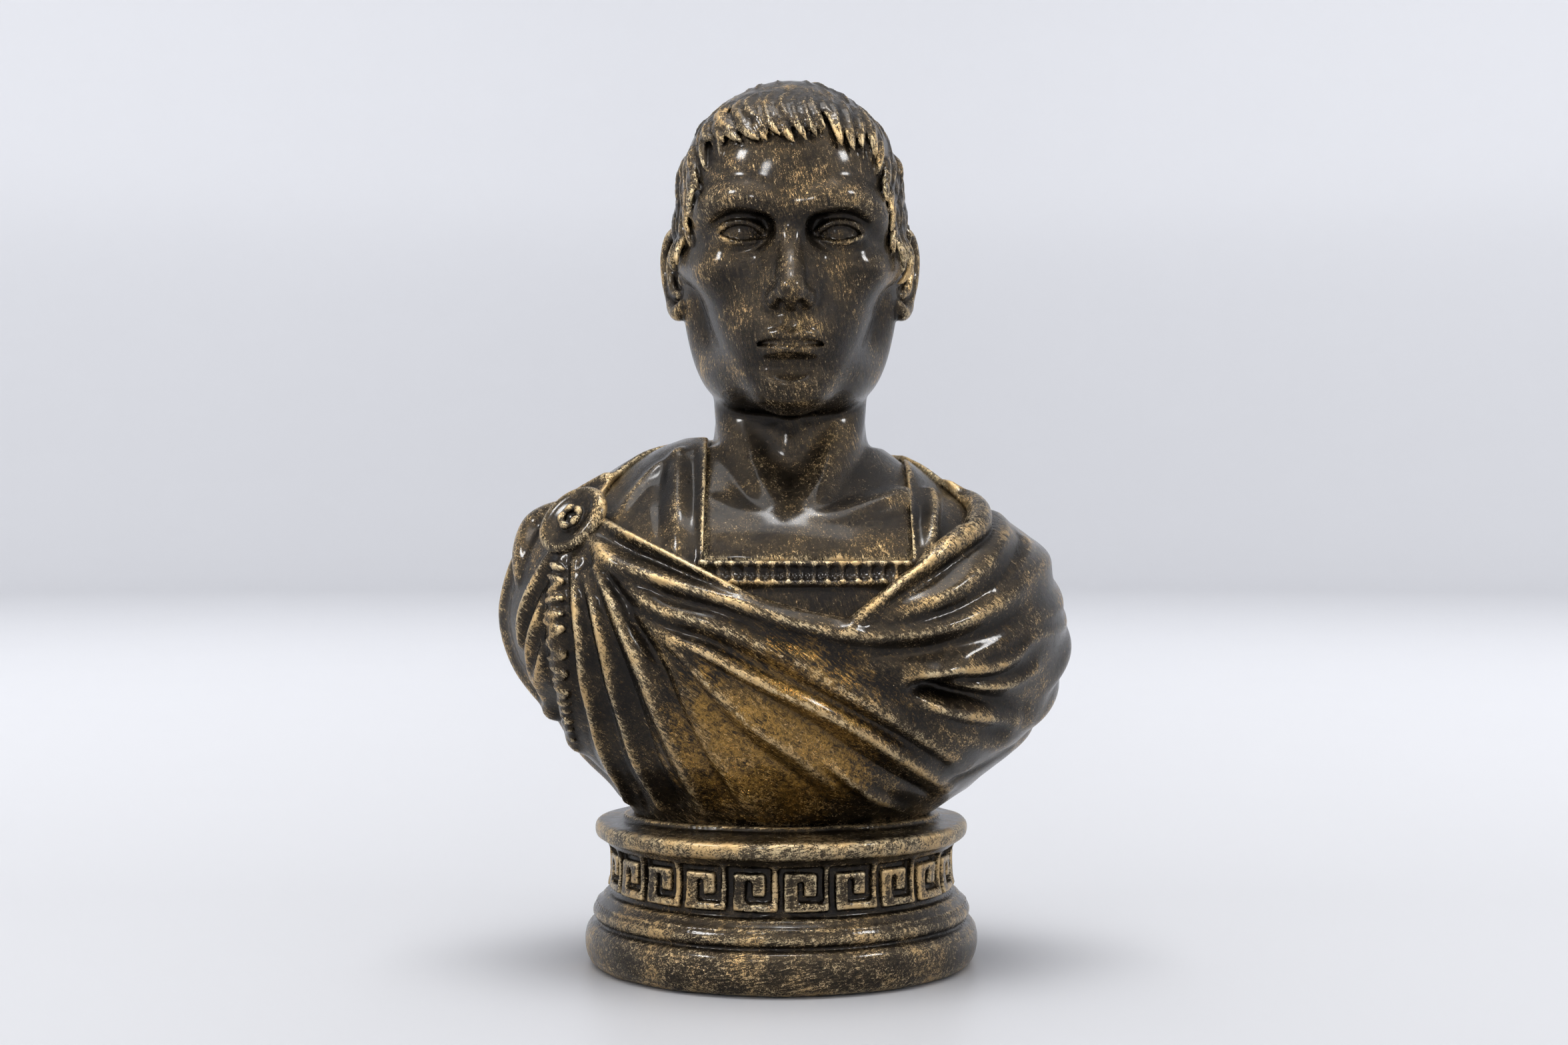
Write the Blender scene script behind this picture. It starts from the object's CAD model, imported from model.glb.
"""Visual model of the bronze-finish bust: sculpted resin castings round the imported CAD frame.

Each casting is a signed distance field on a fine grid, built up like clay from rounded strokes and
then meshed. Sculpting is in millimetres in the row frame; the meshes are in metres.
"""

import math

import bpy
import numpy as np
import openvdb
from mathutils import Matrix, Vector


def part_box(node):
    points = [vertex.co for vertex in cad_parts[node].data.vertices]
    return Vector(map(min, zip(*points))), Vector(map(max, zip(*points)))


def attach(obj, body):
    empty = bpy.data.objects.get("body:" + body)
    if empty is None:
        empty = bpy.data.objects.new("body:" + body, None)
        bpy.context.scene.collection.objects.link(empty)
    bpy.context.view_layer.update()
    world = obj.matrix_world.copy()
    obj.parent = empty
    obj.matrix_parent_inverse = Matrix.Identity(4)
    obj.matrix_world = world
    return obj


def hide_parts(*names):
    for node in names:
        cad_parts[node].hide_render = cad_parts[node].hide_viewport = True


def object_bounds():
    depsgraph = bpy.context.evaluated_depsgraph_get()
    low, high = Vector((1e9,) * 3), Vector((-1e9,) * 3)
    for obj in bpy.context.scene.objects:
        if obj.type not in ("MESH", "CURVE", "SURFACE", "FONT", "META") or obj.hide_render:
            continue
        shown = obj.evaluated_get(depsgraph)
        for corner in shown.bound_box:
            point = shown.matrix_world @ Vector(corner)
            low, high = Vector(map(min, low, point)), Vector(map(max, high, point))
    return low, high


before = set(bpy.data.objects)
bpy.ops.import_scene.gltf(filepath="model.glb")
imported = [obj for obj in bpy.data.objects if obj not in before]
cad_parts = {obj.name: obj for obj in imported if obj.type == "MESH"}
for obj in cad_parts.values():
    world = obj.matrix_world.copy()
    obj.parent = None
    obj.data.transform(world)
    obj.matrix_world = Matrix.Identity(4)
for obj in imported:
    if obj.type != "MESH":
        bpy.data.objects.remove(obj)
CAD_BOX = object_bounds()

MM = 0.001
FAR = 4.0  # the field's value away from any surface, in millimetres
BUMP_REACH = 2.6  # how many widths out a relief is still worked out
DEEPEST, SHALLOW = 2.5, 0.6  # how far the surface may lie from a relief's curve, in millimetres
CUSP_ROUND, CUSP_WIDTH = 1.3, 0.6  # a crease's rounding in voxels, and its fall-off in widths
WEAR_SCALES = (("edge_wear", 0.7), ("form_wear", 2.0))  # relief attributes and their radii


# ---- clay: distance fields on a grid -----------------------------------------------------------

def soft_min(a, b, k):
    """The union of two distances, with a fillet about k wide."""
    if k <= 0:
        return np.minimum(a, b)
    h = np.maximum(k - np.abs(a - b), 0.0)
    return np.minimum(a, b) - h * h * (0.25 / k)


def soft_max(a, b, k):
    """The overlap of two distances, its edge rounded about k wide."""
    return -soft_min(-a, -b, k)


def smooth_path(points, step):
    """Catmull-Rom curve through rows of numbers; the first three columns are a place."""
    rows = np.asarray(points, float)
    if len(rows) == 2:
        count = max(2, int(np.linalg.norm(rows[1, :3] - rows[0, :3]) / step) + 1)
        return rows[0] + np.linspace(0, 1, count)[:, None] * (rows[1] - rows[0])
    padded = np.vstack([2 * rows[0] - rows[1], rows, 2 * rows[-1] - rows[-2]])
    out = []
    for p0, p1, p2, p3 in zip(padded, padded[1:], padded[2:], padded[3:]):
        count = max(1, int(round(np.linalg.norm((p2 - p1)[:3]) / step)))
        t = np.arange(count)[:, None] / count
        out.append(0.5 * (2 * p1 + (p2 - p0) * t + (2 * p0 - 5 * p1 + 4 * p2 - p3) * t ** 2
                          + (3 * p1 - p0 - 3 * p2 + p3) * t ** 3))
    return np.vstack(out + [rows[-1:]])


def near_run(place, a, b):
    """The squared distance from places to the straight run a to b, and how far along it they are."""
    along = b - a
    length2 = max(float(along @ along), 1e-9)
    offset = [p - start for p, start in zip(place, a)]
    t = np.clip(sum(o * s for o, s in zip(offset, along)) / length2, 0, 1)
    return sum((o - t * s) ** 2 for o, s in zip(offset, along)), t


class Clay:
    """A block of clay: a distance field in millimetres, negative inside."""

    def __init__(self, low, high, voxel):
        self.low, self.voxel = np.array(low, float), voxel
        self.origin = np.zeros(3)
        counts = [int(round((b - a) / voxel)) + 1 for a, b in zip(low, high)]
        self.axes = [(a + voxel * np.arange(n)).astype(np.float32) for a, n in zip(low, counts)]
        self.field = np.full(counts, FAR, np.float32)

    @classmethod
    def copy_of(cls, other):
        """Another block on the same grid with the same surface."""
        copy = cls.__new__(cls)
        copy.low, copy.voxel, copy.origin, copy.axes = other.low, other.voxel, other.origin, other.axes
        copy.field = other.field.copy()
        return copy

    def window(self, low, high):
        """The part of the grid between two corners: its slices and its x, y and z."""
        cuts = tuple(slice(int(np.searchsorted(axis, a)), int(np.searchsorted(axis, b)))
                     for axis, a, b in zip(self.axes, low, high))
        x, y, z = (axis[cut] for axis, cut in zip(self.axes, cuts))
        return cuts, x[:, None, None], y[None, :, None], z[None, None, :]

    def everywhere(self):
        """The whole grid's x, y and z."""
        x, y, z = self.axes
        return x[:, None, None], y[None, :, None], z[None, None, :]

    def cone(self, a, b, ra, rb, soft, cut=False):
        """Adds or cuts a round-ended rod from a to b whose radius goes from ra to rb."""
        a, b = np.asarray(a, float), np.asarray(b, float)
        reach = max(ra, rb) + soft + 2 * self.voxel
        cuts, x, y, z = self.window(np.minimum(a, b) - reach, np.maximum(a, b) + reach)
        near, t = near_run((x, y, z), a, b)
        self.merge(cuts, np.sqrt(near) - (ra + t * (rb - ra)), soft, cut)

    def merge(self, cuts, d, soft, cut=False):
        """Adds or cuts the form whose distance is d over part of the grid."""
        old = self.field[cuts]
        self.field[cuts] = soft_max(old, -d, soft) if cut else soft_min(old, d, soft)

    def rod(self, points, soft, cut=False, step=1.0):
        """A chain of cones along a smooth curve through rows of x, y, z, radius."""
        rows = smooth_path(points, step)
        for p, q in zip(rows, rows[1:]):
            self.cone(p[:3], q[:3], max(p[3], 0.02), max(q[3], 0.02), soft, cut)

    def egg(self, centre, radii, soft, cut=False, turn=None):
        """Adds or cuts an ellipsoid, turned by a 3 x 3 matrix whose columns are its own axes."""
        centre, radii = np.asarray(centre, float), np.asarray(radii, float)
        reach = (max(radii) if turn is not None else radii) + soft + 2 * self.voxel
        cuts, x, y, z = self.window(centre - reach, centre + reach)
        p = [x - centre[0], y - centre[1], z - centre[2]]
        if turn is not None:
            p = [p[0] * turn[0][i] + p[1] * turn[1][i] + p[2] * turn[2][i] for i in range(3)]
        q0 = sum((c / r) ** 2 for c, r in zip(p, radii))
        q1 = sum((c / (r * r)) ** 2 for c, r in zip(p, radii))
        k0 = np.sqrt(q0)
        d = k0 * (k0 - 1.0) / np.maximum(np.sqrt(q1), 1e-4)
        self.merge(cuts, d, soft, cut)

    def relief(self, points, width, step=0.6, under=None, cusp=False):
        """Raises the surface along a curve on it through rows of x, y, z, height.

        The bump is width wide to each side, sharp along the middle if cusp is set. With under, the
        field before any relief, the rows are close together already and distance is measured along
        the surface.
        """
        rows = np.asarray(points) if under is not None else smooth_path(points, step)
        reach = BUMP_REACH * width + (DEEPEST if under is not None else SHALLOW)
        cuts = self.window(rows[:, :3].min(0) - reach, rows[:, :3].max(0) + reach)[0]
        shape = self.field[cuts].shape
        near = np.full(shape, 1e6, np.float32)
        height = np.zeros(shape, np.float32)
        start = [c.start for c in cuts]
        for p, q in zip(rows, rows[1:]):
            self._nearest(p, q, reach, start, near, height)
        if under is not None:
            near = np.maximum(near - under[cuts] ** 2, 0)
        distance = np.sqrt(near + (CUSP_ROUND * self.voxel) ** 2)
        bump = np.exp(-distance / (CUSP_WIDTH * width)) if cusp else np.exp(-near / (width * width))
        self.field[cuts] -= height * bump

    def _nearest(self, p, q, reach, start, near, height):
        """Updates the squared distance to one run of a curve, and the height at its nearest point."""
        low, high = np.minimum(p[:3], q[:3]) - reach, np.maximum(p[:3], q[:3]) + reach
        cuts, x, y, z = self.window(low, high)
        local = tuple(slice(max(c.start - s, 0), max(c.stop - s, 0)) for c, s in zip(cuts, start))
        wide, deep, tall = near[local].shape
        d, t = near_run((x[:wide], y[:, :deep], z[:, :, :tall]), p[:3], q[:3])
        closer = d < near[local]
        near[local] = np.where(closer, d, near[local])
        height[local] = np.where(closer, p[3] + t * (q[3] - p[3]), height[local])

    def blur(self, rounds):
        """Softens the whole surface a little."""
        for _ in range(rounds):
            for axis in range(3):
                f = np.moveaxis(self.field, axis, 0)
                f[1:-1] = 0.5 * f[1:-1] + 0.25 * (f[:-2] + f[2:])

    def front(self, x, z):
        """Where the surface is first met coming from the front, along +Y, at this x and z."""
        across = (x - self.low[0]) / self.voxel
        up = (z - self.low[2]) / self.voxel
        i, k = int(across), int(up)
        across, up = across - i, up - k
        f = self.field
        column = ((f[i, :, k] * (1 - across) + f[i + 1, :, k] * across) * (1 - up)
                  + (f[i, :, k + 1] * (1 - across) + f[i + 1, :, k + 1] * across) * up)
        inside = np.nonzero(column < 0)[0]
        if not len(inside) or inside[0] == 0:
            return None
        j = inside[0]
        part = column[j - 1] / (column[j - 1] - column[j])
        return float(self.axes[1][j - 1] + part * self.voxel)

    def on_front(self, points):
        """Rows of x, z, value laid on the surface as seen from the front: x, y, z, value."""
        rows = []
        for x, z, value in points:
            y = self.front(x, z)
            if y is not None:
                rows.append((x, y, z, value))
        return rows

    def sample(self, points):
        """The field, and the outward unit normal, at each of many points."""
        at = (np.asarray(points) - self.low) / self.voxel
        at = np.clip(at, 1, np.array(self.field.shape) - 3)
        i = at.astype(int)
        f = at - i
        value, slope = 0.0, np.zeros((len(i), 3))
        for corner in np.ndindex(2, 2, 2):
            weights = [f[:, a] if corner[a] else 1 - f[:, a] for a in range(3)]
            v = self.field[tuple((i + corner).T)]
            value = value + v * weights[0] * weights[1] * weights[2]
            for a in range(3):
                b, c = (a + 1) % 3, (a + 2) % 3
                slope[:, a] += (v if corner[a] else -v) * weights[b] * weights[c]
        return value, slope / np.maximum(np.linalg.norm(slope, axis=1), 1e-6)[:, None]

    def on_surface(self, points, lift=0.0, rounds=4):
        """Points brought to the surface along its normal, raised by lift, and those normals."""
        p = np.array(points, float)
        for _ in range(rounds):
            value, n = self.sample(p)
            p -= np.clip(value, -1.5, 1.5)[:, None] * n
        return p + np.reshape(lift, (-1, 1)) * n, n

    def mesh(self):
        """The surface as points in millimetres and quads, its largest piece only."""
        grid = openvdb.FloatGrid(background=FAR)
        grid.copyFromArray(np.ascontiguousarray(self.field))
        points, quads = grid.convertToQuads()
        points = self.low + points.astype(float) * self.voxel
        return largest_piece(points, quads)


def largest_piece(points, quads):
    """Drops every loose crumb and keeps the biggest connected surface."""
    label = np.arange(len(points))
    flat = quads.reshape(-1)
    while True:
        lowest = label[quads].min(axis=1)
        new = label.copy()
        np.minimum.at(new, flat, np.repeat(lowest, 4))
        new = new[new]
        if np.array_equal(new, label):
            break
        label = new
    names, counts = np.unique(label[quads[:, 0]], return_counts=True)
    kept = quads[label[quads[:, 0]] == names[np.argmax(counts)]]
    used = np.unique(kept)
    renumber = np.zeros(len(points), int)
    renumber[used] = np.arange(len(used))
    return points[used], renumber[kept]


def smoothed(points, quads, rounds):
    """The points after some rounds of moving half way to the mean of their neighbours."""
    count = len(points)
    a = quads.reshape(-1)
    b = np.roll(quads, -1, axis=1).reshape(-1)
    degree = np.maximum(np.bincount(a, minlength=count) + np.bincount(b, minlength=count), 1)
    p = points.copy()
    for _ in range(rounds):
        for i in range(3):
            column = p[:, i]
            total = np.bincount(a, column[b], count) + np.bincount(b, column[a], count)
            p[:, i] = 0.5 * column + 0.5 * total / degree
    return p


def normals(points, quads):
    """A unit normal at each point."""
    n = np.cross(points[quads[:, 2]] - points[quads[:, 0]], points[quads[:, 3]] - points[quads[:, 1]])
    out = np.stack([np.bincount(quads.reshape(-1), np.repeat(n[:, i], 4), len(points))
                    for i in range(3)], axis=1)
    return out / np.maximum(np.linalg.norm(out, axis=1), 1e-12)[:, None]


def to_object(name, points, quads, voxel):
    """A smooth-shaded Blender mesh with two relief attributes, edge_wear and form_wear."""
    mesh = bpy.data.meshes.new(name)
    mesh.vertices.add(len(points))
    mesh.vertices.foreach_set("co", (points * MM).astype(np.float32).ravel())
    mesh.loops.add(len(quads) * 4)
    mesh.loops.foreach_set("vertex_index", quads.astype(np.int32).ravel())
    mesh.polygons.add(len(quads))
    mesh.polygons.foreach_set("loop_start", np.arange(len(quads), dtype=np.int32) * 4)
    mesh.update(calc_edges=True)
    mesh.validate()
    mesh.polygons.foreach_set("use_smooth", np.ones(len(mesh.polygons), bool))
    n = normals(points, quads)
    for label, radius in WEAR_SCALES:
        rounds = max(2, int((radius / voxel) ** 2))
        rise = ((points - smoothed(points, quads, rounds)) * n).sum(1)
        attribute = mesh.attributes.new(label, "FLOAT", "POINT")
        attribute.data.foreach_set("value", rise.astype(np.float32))
    obj = bpy.data.objects.new(name, mesh)
    bpy.context.scene.collection.objects.link(obj)
    return obj


# ---- the bust's overall form ---------------------------------------------------------------------

# height, left, right, front and back of the draped body
BODY_OUTLINE = np.array((
    (16.7, -17.2, 17.4, -12.4, 12.4),
    (20.0, -19.4, 22.0, -15.2, 15.0),
    (23.5, -22.8, 26.2, -17.6, 17.2),
    (28.0, -25.9, 29.5, -19.8, 19.2),
    (33.5, -30.0, 32.1, -21.5, 20.8),
    (38.5, -31.5, 32.5, -22.0, 21.4),
    (43.0, -31.0, 31.7, -21.4, 21.2),
    (47.0, -29.8, 29.8, -20.0, 20.4),
    (50.5, -26.9, 25.2, -17.4, 19.0),
    (53.5, -22.6, 20.4, -14.2, 17.2),
    (56.5, -18.4, 16.4, -11.2, 15.0),
    (58.8, -13.8, 13.0, -9.0, 12.6),
    (60.0, -9.6, 10.4, -7.4, 10.6),
    (60.8, -4.0, 5.0, -2.6, 6.0),
))
SEAT_Z = 16.7  # where the body stands on the socle
NECK_OPENING = ((-8.2, -30.0, 45.6), (14.0, 9.5, 75.0))  # two corners of the tunic's neckline
NECK_CORNER = 7.0
TUNIC_INSET, SKIN_INSET = 1.6, 2.7  # how far inside the body's outline the tunic and the skin lie


def smooth_steps(at, places, values):
    """Cubic interpolation through the values given at rising places."""
    slopes = np.gradient(values, places)
    at = np.clip(at, places[0], places[-1])
    i = np.clip(np.searchsorted(places, at) - 1, 0, len(places) - 2)
    span = places[i + 1] - places[i]
    t = (at - places[i]) / span
    return ((2 * t ** 3 - 3 * t ** 2 + 1) * values[i] + (t ** 3 - 2 * t ** 2 + t) * span * slopes[i]
            + (3 * t ** 2 - 2 * t ** 3) * values[i + 1] + (t ** 3 - t ** 2) * span * slopes[i + 1])


def outline_at(z):
    """Left, right, front and back of the body at each height in z, smoothly interpolated."""
    return np.stack([smooth_steps(z, BODY_OUTLINE[:, 0], side) for side in BODY_OUTLINE[:, 1:].T], axis=1)


def box_of(z):
    """The middle of the body in x and y at each height in z, and its half sizes."""
    left, right, front, back = outline_at(z).T
    return (left + right) / 2, (front + back) / 2, (right - left) / 2, (back - front) / 2


def body_field(clay, inset):
    """Distance to the draped body drawn in by inset, over the whole of a block of clay."""
    x, y, z = clay.everywhere()
    cx, cy, hx, hy = box_of(clay.axes[2] + clay.origin[2])
    hx, hy = np.maximum(hx - inset, 0.6), np.maximum(hy - inset, 0.6)
    px = (x - (cx - clay.origin[0])).astype(np.float32)
    py = (y - (cy - clay.origin[1])).astype(np.float32)
    hx, hy = hx.astype(np.float32), hy.astype(np.float32)
    k0 = np.sqrt((px / hx) ** 2 + (py / hy) ** 2)
    k1 = np.sqrt((px / hx ** 2) ** 2 + (py / hy ** 2) ** 2)
    d = k0 * (k0 - 1) / np.maximum(k1, 1e-4)
    slope = np.gradient(d, clay.voxel, axis=2)
    d = d / np.sqrt(1 + slope * slope)
    top = BODY_OUTLINE[-1, 0] - clay.origin[2] - inset
    return np.maximum(d, z - top).astype(np.float32)


def block_field(clay, low, high, corner):
    """Distance to an upright block between two corners, its vertical edges rounded."""
    x, y, z = clay.everywhere()
    (x0, y0, z0), (x1, y1, z1) = np.asarray(low) - clay.origin, np.asarray(high) - clay.origin
    qx = np.abs(x - (x0 + x1) / 2) - (x1 - x0) / 2 + corner
    qy = np.abs(y - (y0 + y1) / 2) - (y1 - y0) / 2 + corner
    flat = (np.sqrt(np.maximum(qx, 0) ** 2 + np.maximum(qy, 0) ** 2)
            + np.minimum(np.maximum(qx, qy), 0) - corner)
    tall = np.abs(z - (z0 + z1) / 2) - (z1 - z0) / 2
    return np.maximum(flat, tall).astype(np.float32)


# ---- head and neck -------------------------------------------------------------------------------

# places on the head are from a point at the chin's height on the neck's axis
SCALP = np.array((12.35, 15.9, 14.2))  # half sizes of the skull under the hair
SCALP_CENTRE = np.array((0.0, -0.3, 23.2))
CROWN = np.array((0.0, 7.0, 37.0))


def both(points):
    """The same rows for the sitter's two sides."""
    rows = np.asarray(points, float)
    return [rows * np.r_[side, np.ones(rows.shape[1] - 1)] for side in (-1, 1)]


# height, half width, front and back of the face and jaw
FACE_OUTLINE = np.array((
    (-0.2, 1.6, -13.6, -9.0),
    (0.5, 3.3, -15.2, -7.5),
    (1.8, 4.7, -16.1, -5.5),
    (3.4, 5.9, -16.2, -3.5),
    (5.0, 6.9, -15.8, -1.5),
    (7.2, 7.9, -16.0, 1.0),
    (10.0, 8.9, -15.9, 3.0),
    (13.0, 9.8, -15.5, 4.0),
    (16.0, 10.7, -15.0, 5.0),
    (19.0, 10.9, -14.8, 5.0),
    (22.0, 10.9, -15.6, 5.0),
    (26.0, 10.7, -16.0, 5.0),
    (29.0, 9.9, -15.2, 4.0),
    (31.5, 8.4, -13.4, 3.0),
    (33.5, 5.0, -10.0, 2.0),
))
FACE_SQUARENESS = 2.35


def face_field(clay):
    """Distance to the face's main mass, a stack of rounded sections."""
    x, y, z = clay.everywhere()
    heights = FACE_OUTLINE[:, 0]
    width, front, back = (smooth_steps(clay.axes[2], heights, FACE_OUTLINE[:, i]) for i in (1, 2, 3))
    u = np.abs(x / width).astype(np.float32)
    v = np.abs((y - (front + back) / 2) / ((back - front) / 2)).astype(np.float32)
    ring = (u ** FACE_SQUARENESS + v ** FACE_SQUARENESS) ** (1 / FACE_SQUARENESS)
    ends = np.maximum(z - heights[-1], heights[0] - z)
    d = np.maximum((ring - 1) * width, ends).astype(np.float32)
    slopes = np.gradient(d, clay.voxel)
    return (d / np.sqrt(np.maximum(sum(g * g for g in slopes), 0.2))).astype(np.float32)


def skull(clay):
    """The skull and face, with jaw, cheeks, cheekbones, brow and temples."""
    clay.egg((0, -0.3, 23.2), (12.3, 15.6, 14.1), 0)
    clay.field = soft_min(clay.field, face_field(clay), 2.5)
    clay.egg((0, -11.7, 8.3), (4.9, 5.2, 4.5), 2.2)
    clay.egg((0, -13.5, 2.9), (3.1, 3.1, 2.7), 1.8)
    for jaw in both([(4.8, -8.8, 3.6, 1.4), (7.1, -3.0, 6.0, 1.5), (8.5, -0.6, 10.0, 1.3),
                     (9.5, 0.2, 15.0, 1.2)]):
        clay.rod(jaw, 3.4)
    for cheek in both([(7.3, -10.0, 15.3)]):
        clay.egg(cheek[0], (3.2, 3.3, 2.2), 2.4)
    for bone in both([(8.8, -8.6, 16.0, 1.3), (10.4, -4.5, 17.0, 1.1), (11.0, -0.5, 17.5, 0.9)]):
        clay.rod(bone, 2.2)
    for brow in both([(1.0, -15.0, 21.7, 1.0), (4.6, -14.7, 22.5, 1.15), (7.7, -12.8, 22.3, 1.0),
                      (9.6, -9.8, 21.0, 0.8)]):
        clay.rod(brow, 2.0)
    clay.egg((0, 5.2, 9.5), (7.6, 6.6, 6.4), 3.0)
    for temple in both([(12.6, -7.6, 24.5)]):
        clay.egg(temple[0], (1.4, 4.0, 4.5), 2.5, cut=True)
    clay.blur(3)


def neck(clay):
    """The neck, its two tendons, the collarbones and the throat."""
    clay.rod([(0, 1.7, 12.0, 6.9), (0, 1.0, 1.0, 6.9), (0, 0.4, -4.0, 7.1), (0, 0.0, -9.0, 7.8),
              (0, -0.6, -17.0, 9.4)], 2.5)
    for tendon in both([(6.3, 3.0, 9.0, 1.0), (5.5, -3.2, -1.0, 1.1), (3.8, -7.2, -6.5, 1.1),
                        (1.9, -11.4, -10.8, 1.0)]):
        clay.rod(tendon, 2.6)
    for bone in both([(1.3, -13.0, -12.6, 0.9), (5.0, -12.5, -12.5, 1.3), (9.0, -10.6, -11.2, 1.3),
                      (13.0, -8.0, -9.6, 1.2)]):
        clay.rod(bone, 1.6)
    clay.egg((0, -6.8, -3.4), (1.5, 1.4, 1.8), 1.8)


def nose(clay):
    """Bridge, tip, sides, wings and nostrils."""
    clay.rod([(0, -14.5, 20.8, 1.0), (0, -15.0, 19.0, 0.9), (0, -16.4, 15.8, 1.0),
              (0, -18.1, 13.2, 1.15)], 1.3)
    clay.egg((0, -18.4, 12.4), (1.3, 1.5, 1.25), 1.5)
    for side in both([(0.8, -13.6, 17.5, 1.3), (1.45, -15.0, 12.9, 1.6)]):
        clay.rod(side, 1.6)
    for wing in both([(1.75, -16.6, 11.8)]):
        clay.egg(wing[0], (0.75, 1.5, 0.95), 1.2)
    clay.rod([(0, -18.5, 11.3, 0.5), (0, -16.6, 10.8, 0.55)], 0.6)
    for nostril in both([(0.95, -18.0, 10.9)]):
        clay.egg(nostril[0], (0.5, 0.85, 0.75), 0.25, cut=True)


def mouth(clay):
    """Two closed lips, the line between them, and the hollows above and below."""
    for lip in both([(0, -16.7, 7.82, 0.6), (1.1, -16.7, 7.98, 0.62), (2.8, -15.85, 7.64, 0.52),
                     (4.2, -14.4, 7.1, 0.22)]):
        clay.rod(lip, 0.5)
    for lip in both([(0, -16.35, 6.15, 0.95), (1.5, -16.1, 6.2, 0.9), (3.0, -15.1, 6.55, 0.55),
                     (4.1, -14.3, 7.0, 0.22)]):
        clay.rod(lip, 0.5)
    for gap in both([(0, -17.4, 7.02, 0.32), (1.3, -17.25, 7.1, 0.3), (2.8, -16.25, 7.1, 0.26),
                     (4.4, -14.5, 6.98, 0.2)]):
        clay.rod(gap, 0.12, cut=True, step=0.4)
    clay.rod([(0, -17.5, 10.0, 0.3), (0, -17.6, 8.9, 0.4)], 0.9, cut=True)
    clay.rod([(-2.0, -16.7, 4.55, 0.6), (0, -17.2, 4.5, 0.7), (2.0, -16.7, 4.55, 0.6)], 1.4, cut=True)


EYE = np.array((5.2, -11.7, 19.0))
EYE_HALF = 2.6  # half the width between an eye's corners


def eyes(clay):
    """The sockets, then the lids and eyeballs."""
    for side in (-1, 1):
        centre = EYE * (side, 1, 1)
        clay.egg(centre + (0.1 * side, -3.4, 0.1), (3.3, 1.9, 2.1), 1.5, cut=True)
        clay.egg(centre + (-2.2 * side, -3.0, 0.5), (1.0, 1.5, 1.4), 1.2, cut=True)
    for side in (-1, 1):
        lids(clay, side)


def lids(clay, side):
    """Upper and lower lids as a shell with an almond opening, and the eyeball behind it."""
    centre = EYE * (side, 1, 1)
    cuts, x, y, z = clay.window(centre - 4, centre + 4)
    u, v = (x - centre[0]) * side, z - centre[2]
    arch = 1 - np.clip(np.abs((u - 0.1) / EYE_HALF), 0, 1.6) ** 2.2
    tilt = 0.05 * u
    upper, lower = v - tilt - 1.12 * arch, -0.8 * arch - v + tilt
    opening = np.maximum(np.maximum(upper, lower), y - centre[1])
    shell = np.sqrt((u / 3.05) ** 2 + ((y - centre[1]) / 2.68) ** 2 + (v / 2.62) ** 2)
    clay.merge(cuts, (shell - 1) * 2.65, 0.7)
    clay.merge(cuts, opening, 0.22, cut=True)
    clay.egg(centre + (0, 0, 0.05), (2.55, 2.25, 2.3), 0.04)
    for top, bottom, thick in ((1.12, 0.0, 0.3), (0.0, -0.8, 0.24)):
        rim = []
        for w in np.linspace(-2.6, 2.6, 9):
            v = (top + bottom) * (1 - abs((w - 0.1) / EYE_HALF) ** 2.2) + 0.05 * w
            v += thick * (0.7 if top else -0.7)
            deep = 2.66 * math.sqrt(max(1 - (w / 3.05) ** 2 - (v / 2.62) ** 2, 0.02))
            rim.append((centre[0] + side * w, centre[1] - deep, centre[2] + v, thick))
        clay.rod(rim, 0.25, step=0.5)
    crease = [(w, 1.12 * (1 - (w / 3.1) ** 2) + 1.1, -0.2) for w in (-2.4, -1.5, 0, 1.6, 2.9)]
    rows = clay.on_front([(centre[0] + side * w, centre[2] + v, h) for w, v, h in crease])
    clay.relief(rows, 0.32)


def ears(clay):
    """Ears drawn in their own plane: u backwards, v up, w out of the bowl."""
    for side in (-1, 1):
        flare, lean = math.radians(30), math.radians(8)
        e_u = np.array((side * math.sin(flare), math.cos(flare), 0))
        e_v = np.array((0, math.sin(lean), math.cos(lean)))
        e_w = np.cross(e_u, e_v) * side
        centre = np.array((side * 12.75, 1.3, 16.3))

        def place(u, v, w):
            return centre + u * e_u + v * e_v + w * e_w

        def curve(points, w, soft, cut=False):
            rows = [(*place(u, v, w + dw), r) for u, v, dw, r in points]
            clay.rod(rows, soft, cut, step=0.5)

        turn = np.stack([e_u, e_v, e_w], axis=1)
        clay.egg(place(-0.5, 0.2, -1.3), (2.0, 3.6, 1.3), 1.0, turn=turn)
        clay.egg(place(0.4, 0.2, -0.35), (2.7, 4.6, 0.6), 0.5, turn=turn)
        curve([(-0.5, 0.3, -0.1, 0.45), (-1.8, 1.6, 0.15, 0.55), (-1.9, 3.6, 0.2, 0.6),
               (-0.2, 5.0, 0.1, 0.62), (1.9, 4.5, 0.05, 0.6), (3.0, 2.5, 0.05, 0.55),
               (2.9, -0.2, 0.0, 0.5), (1.8, -2.6, 0.0, 0.5), (0.6, -3.9, 0.1, 0.75),
               (-0.8, -4.5, 0.2, 0.85), (-1.7, -3.6, 0.2, 0.6)], 0.1, 0.35)
        clay.egg(place(-0.1, -0.5, 0.75), (1.45, 1.9, 1.35), 0.5, cut=True, turn=turn)
        curve([(0.4, 3.7, 0, 0.4), (1.5, 2.2, 0, 0.5), (1.6, 0.2, 0, 0.5), (0.9, -1.8, 0, 0.5),
               (-0.6, -2.5, 0, 0.5)], 0.15, 0.3)
        clay.egg(place(-1.9, -0.6, 0.3), (0.6, 0.9, 0.7), 0.4, turn=turn)


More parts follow.
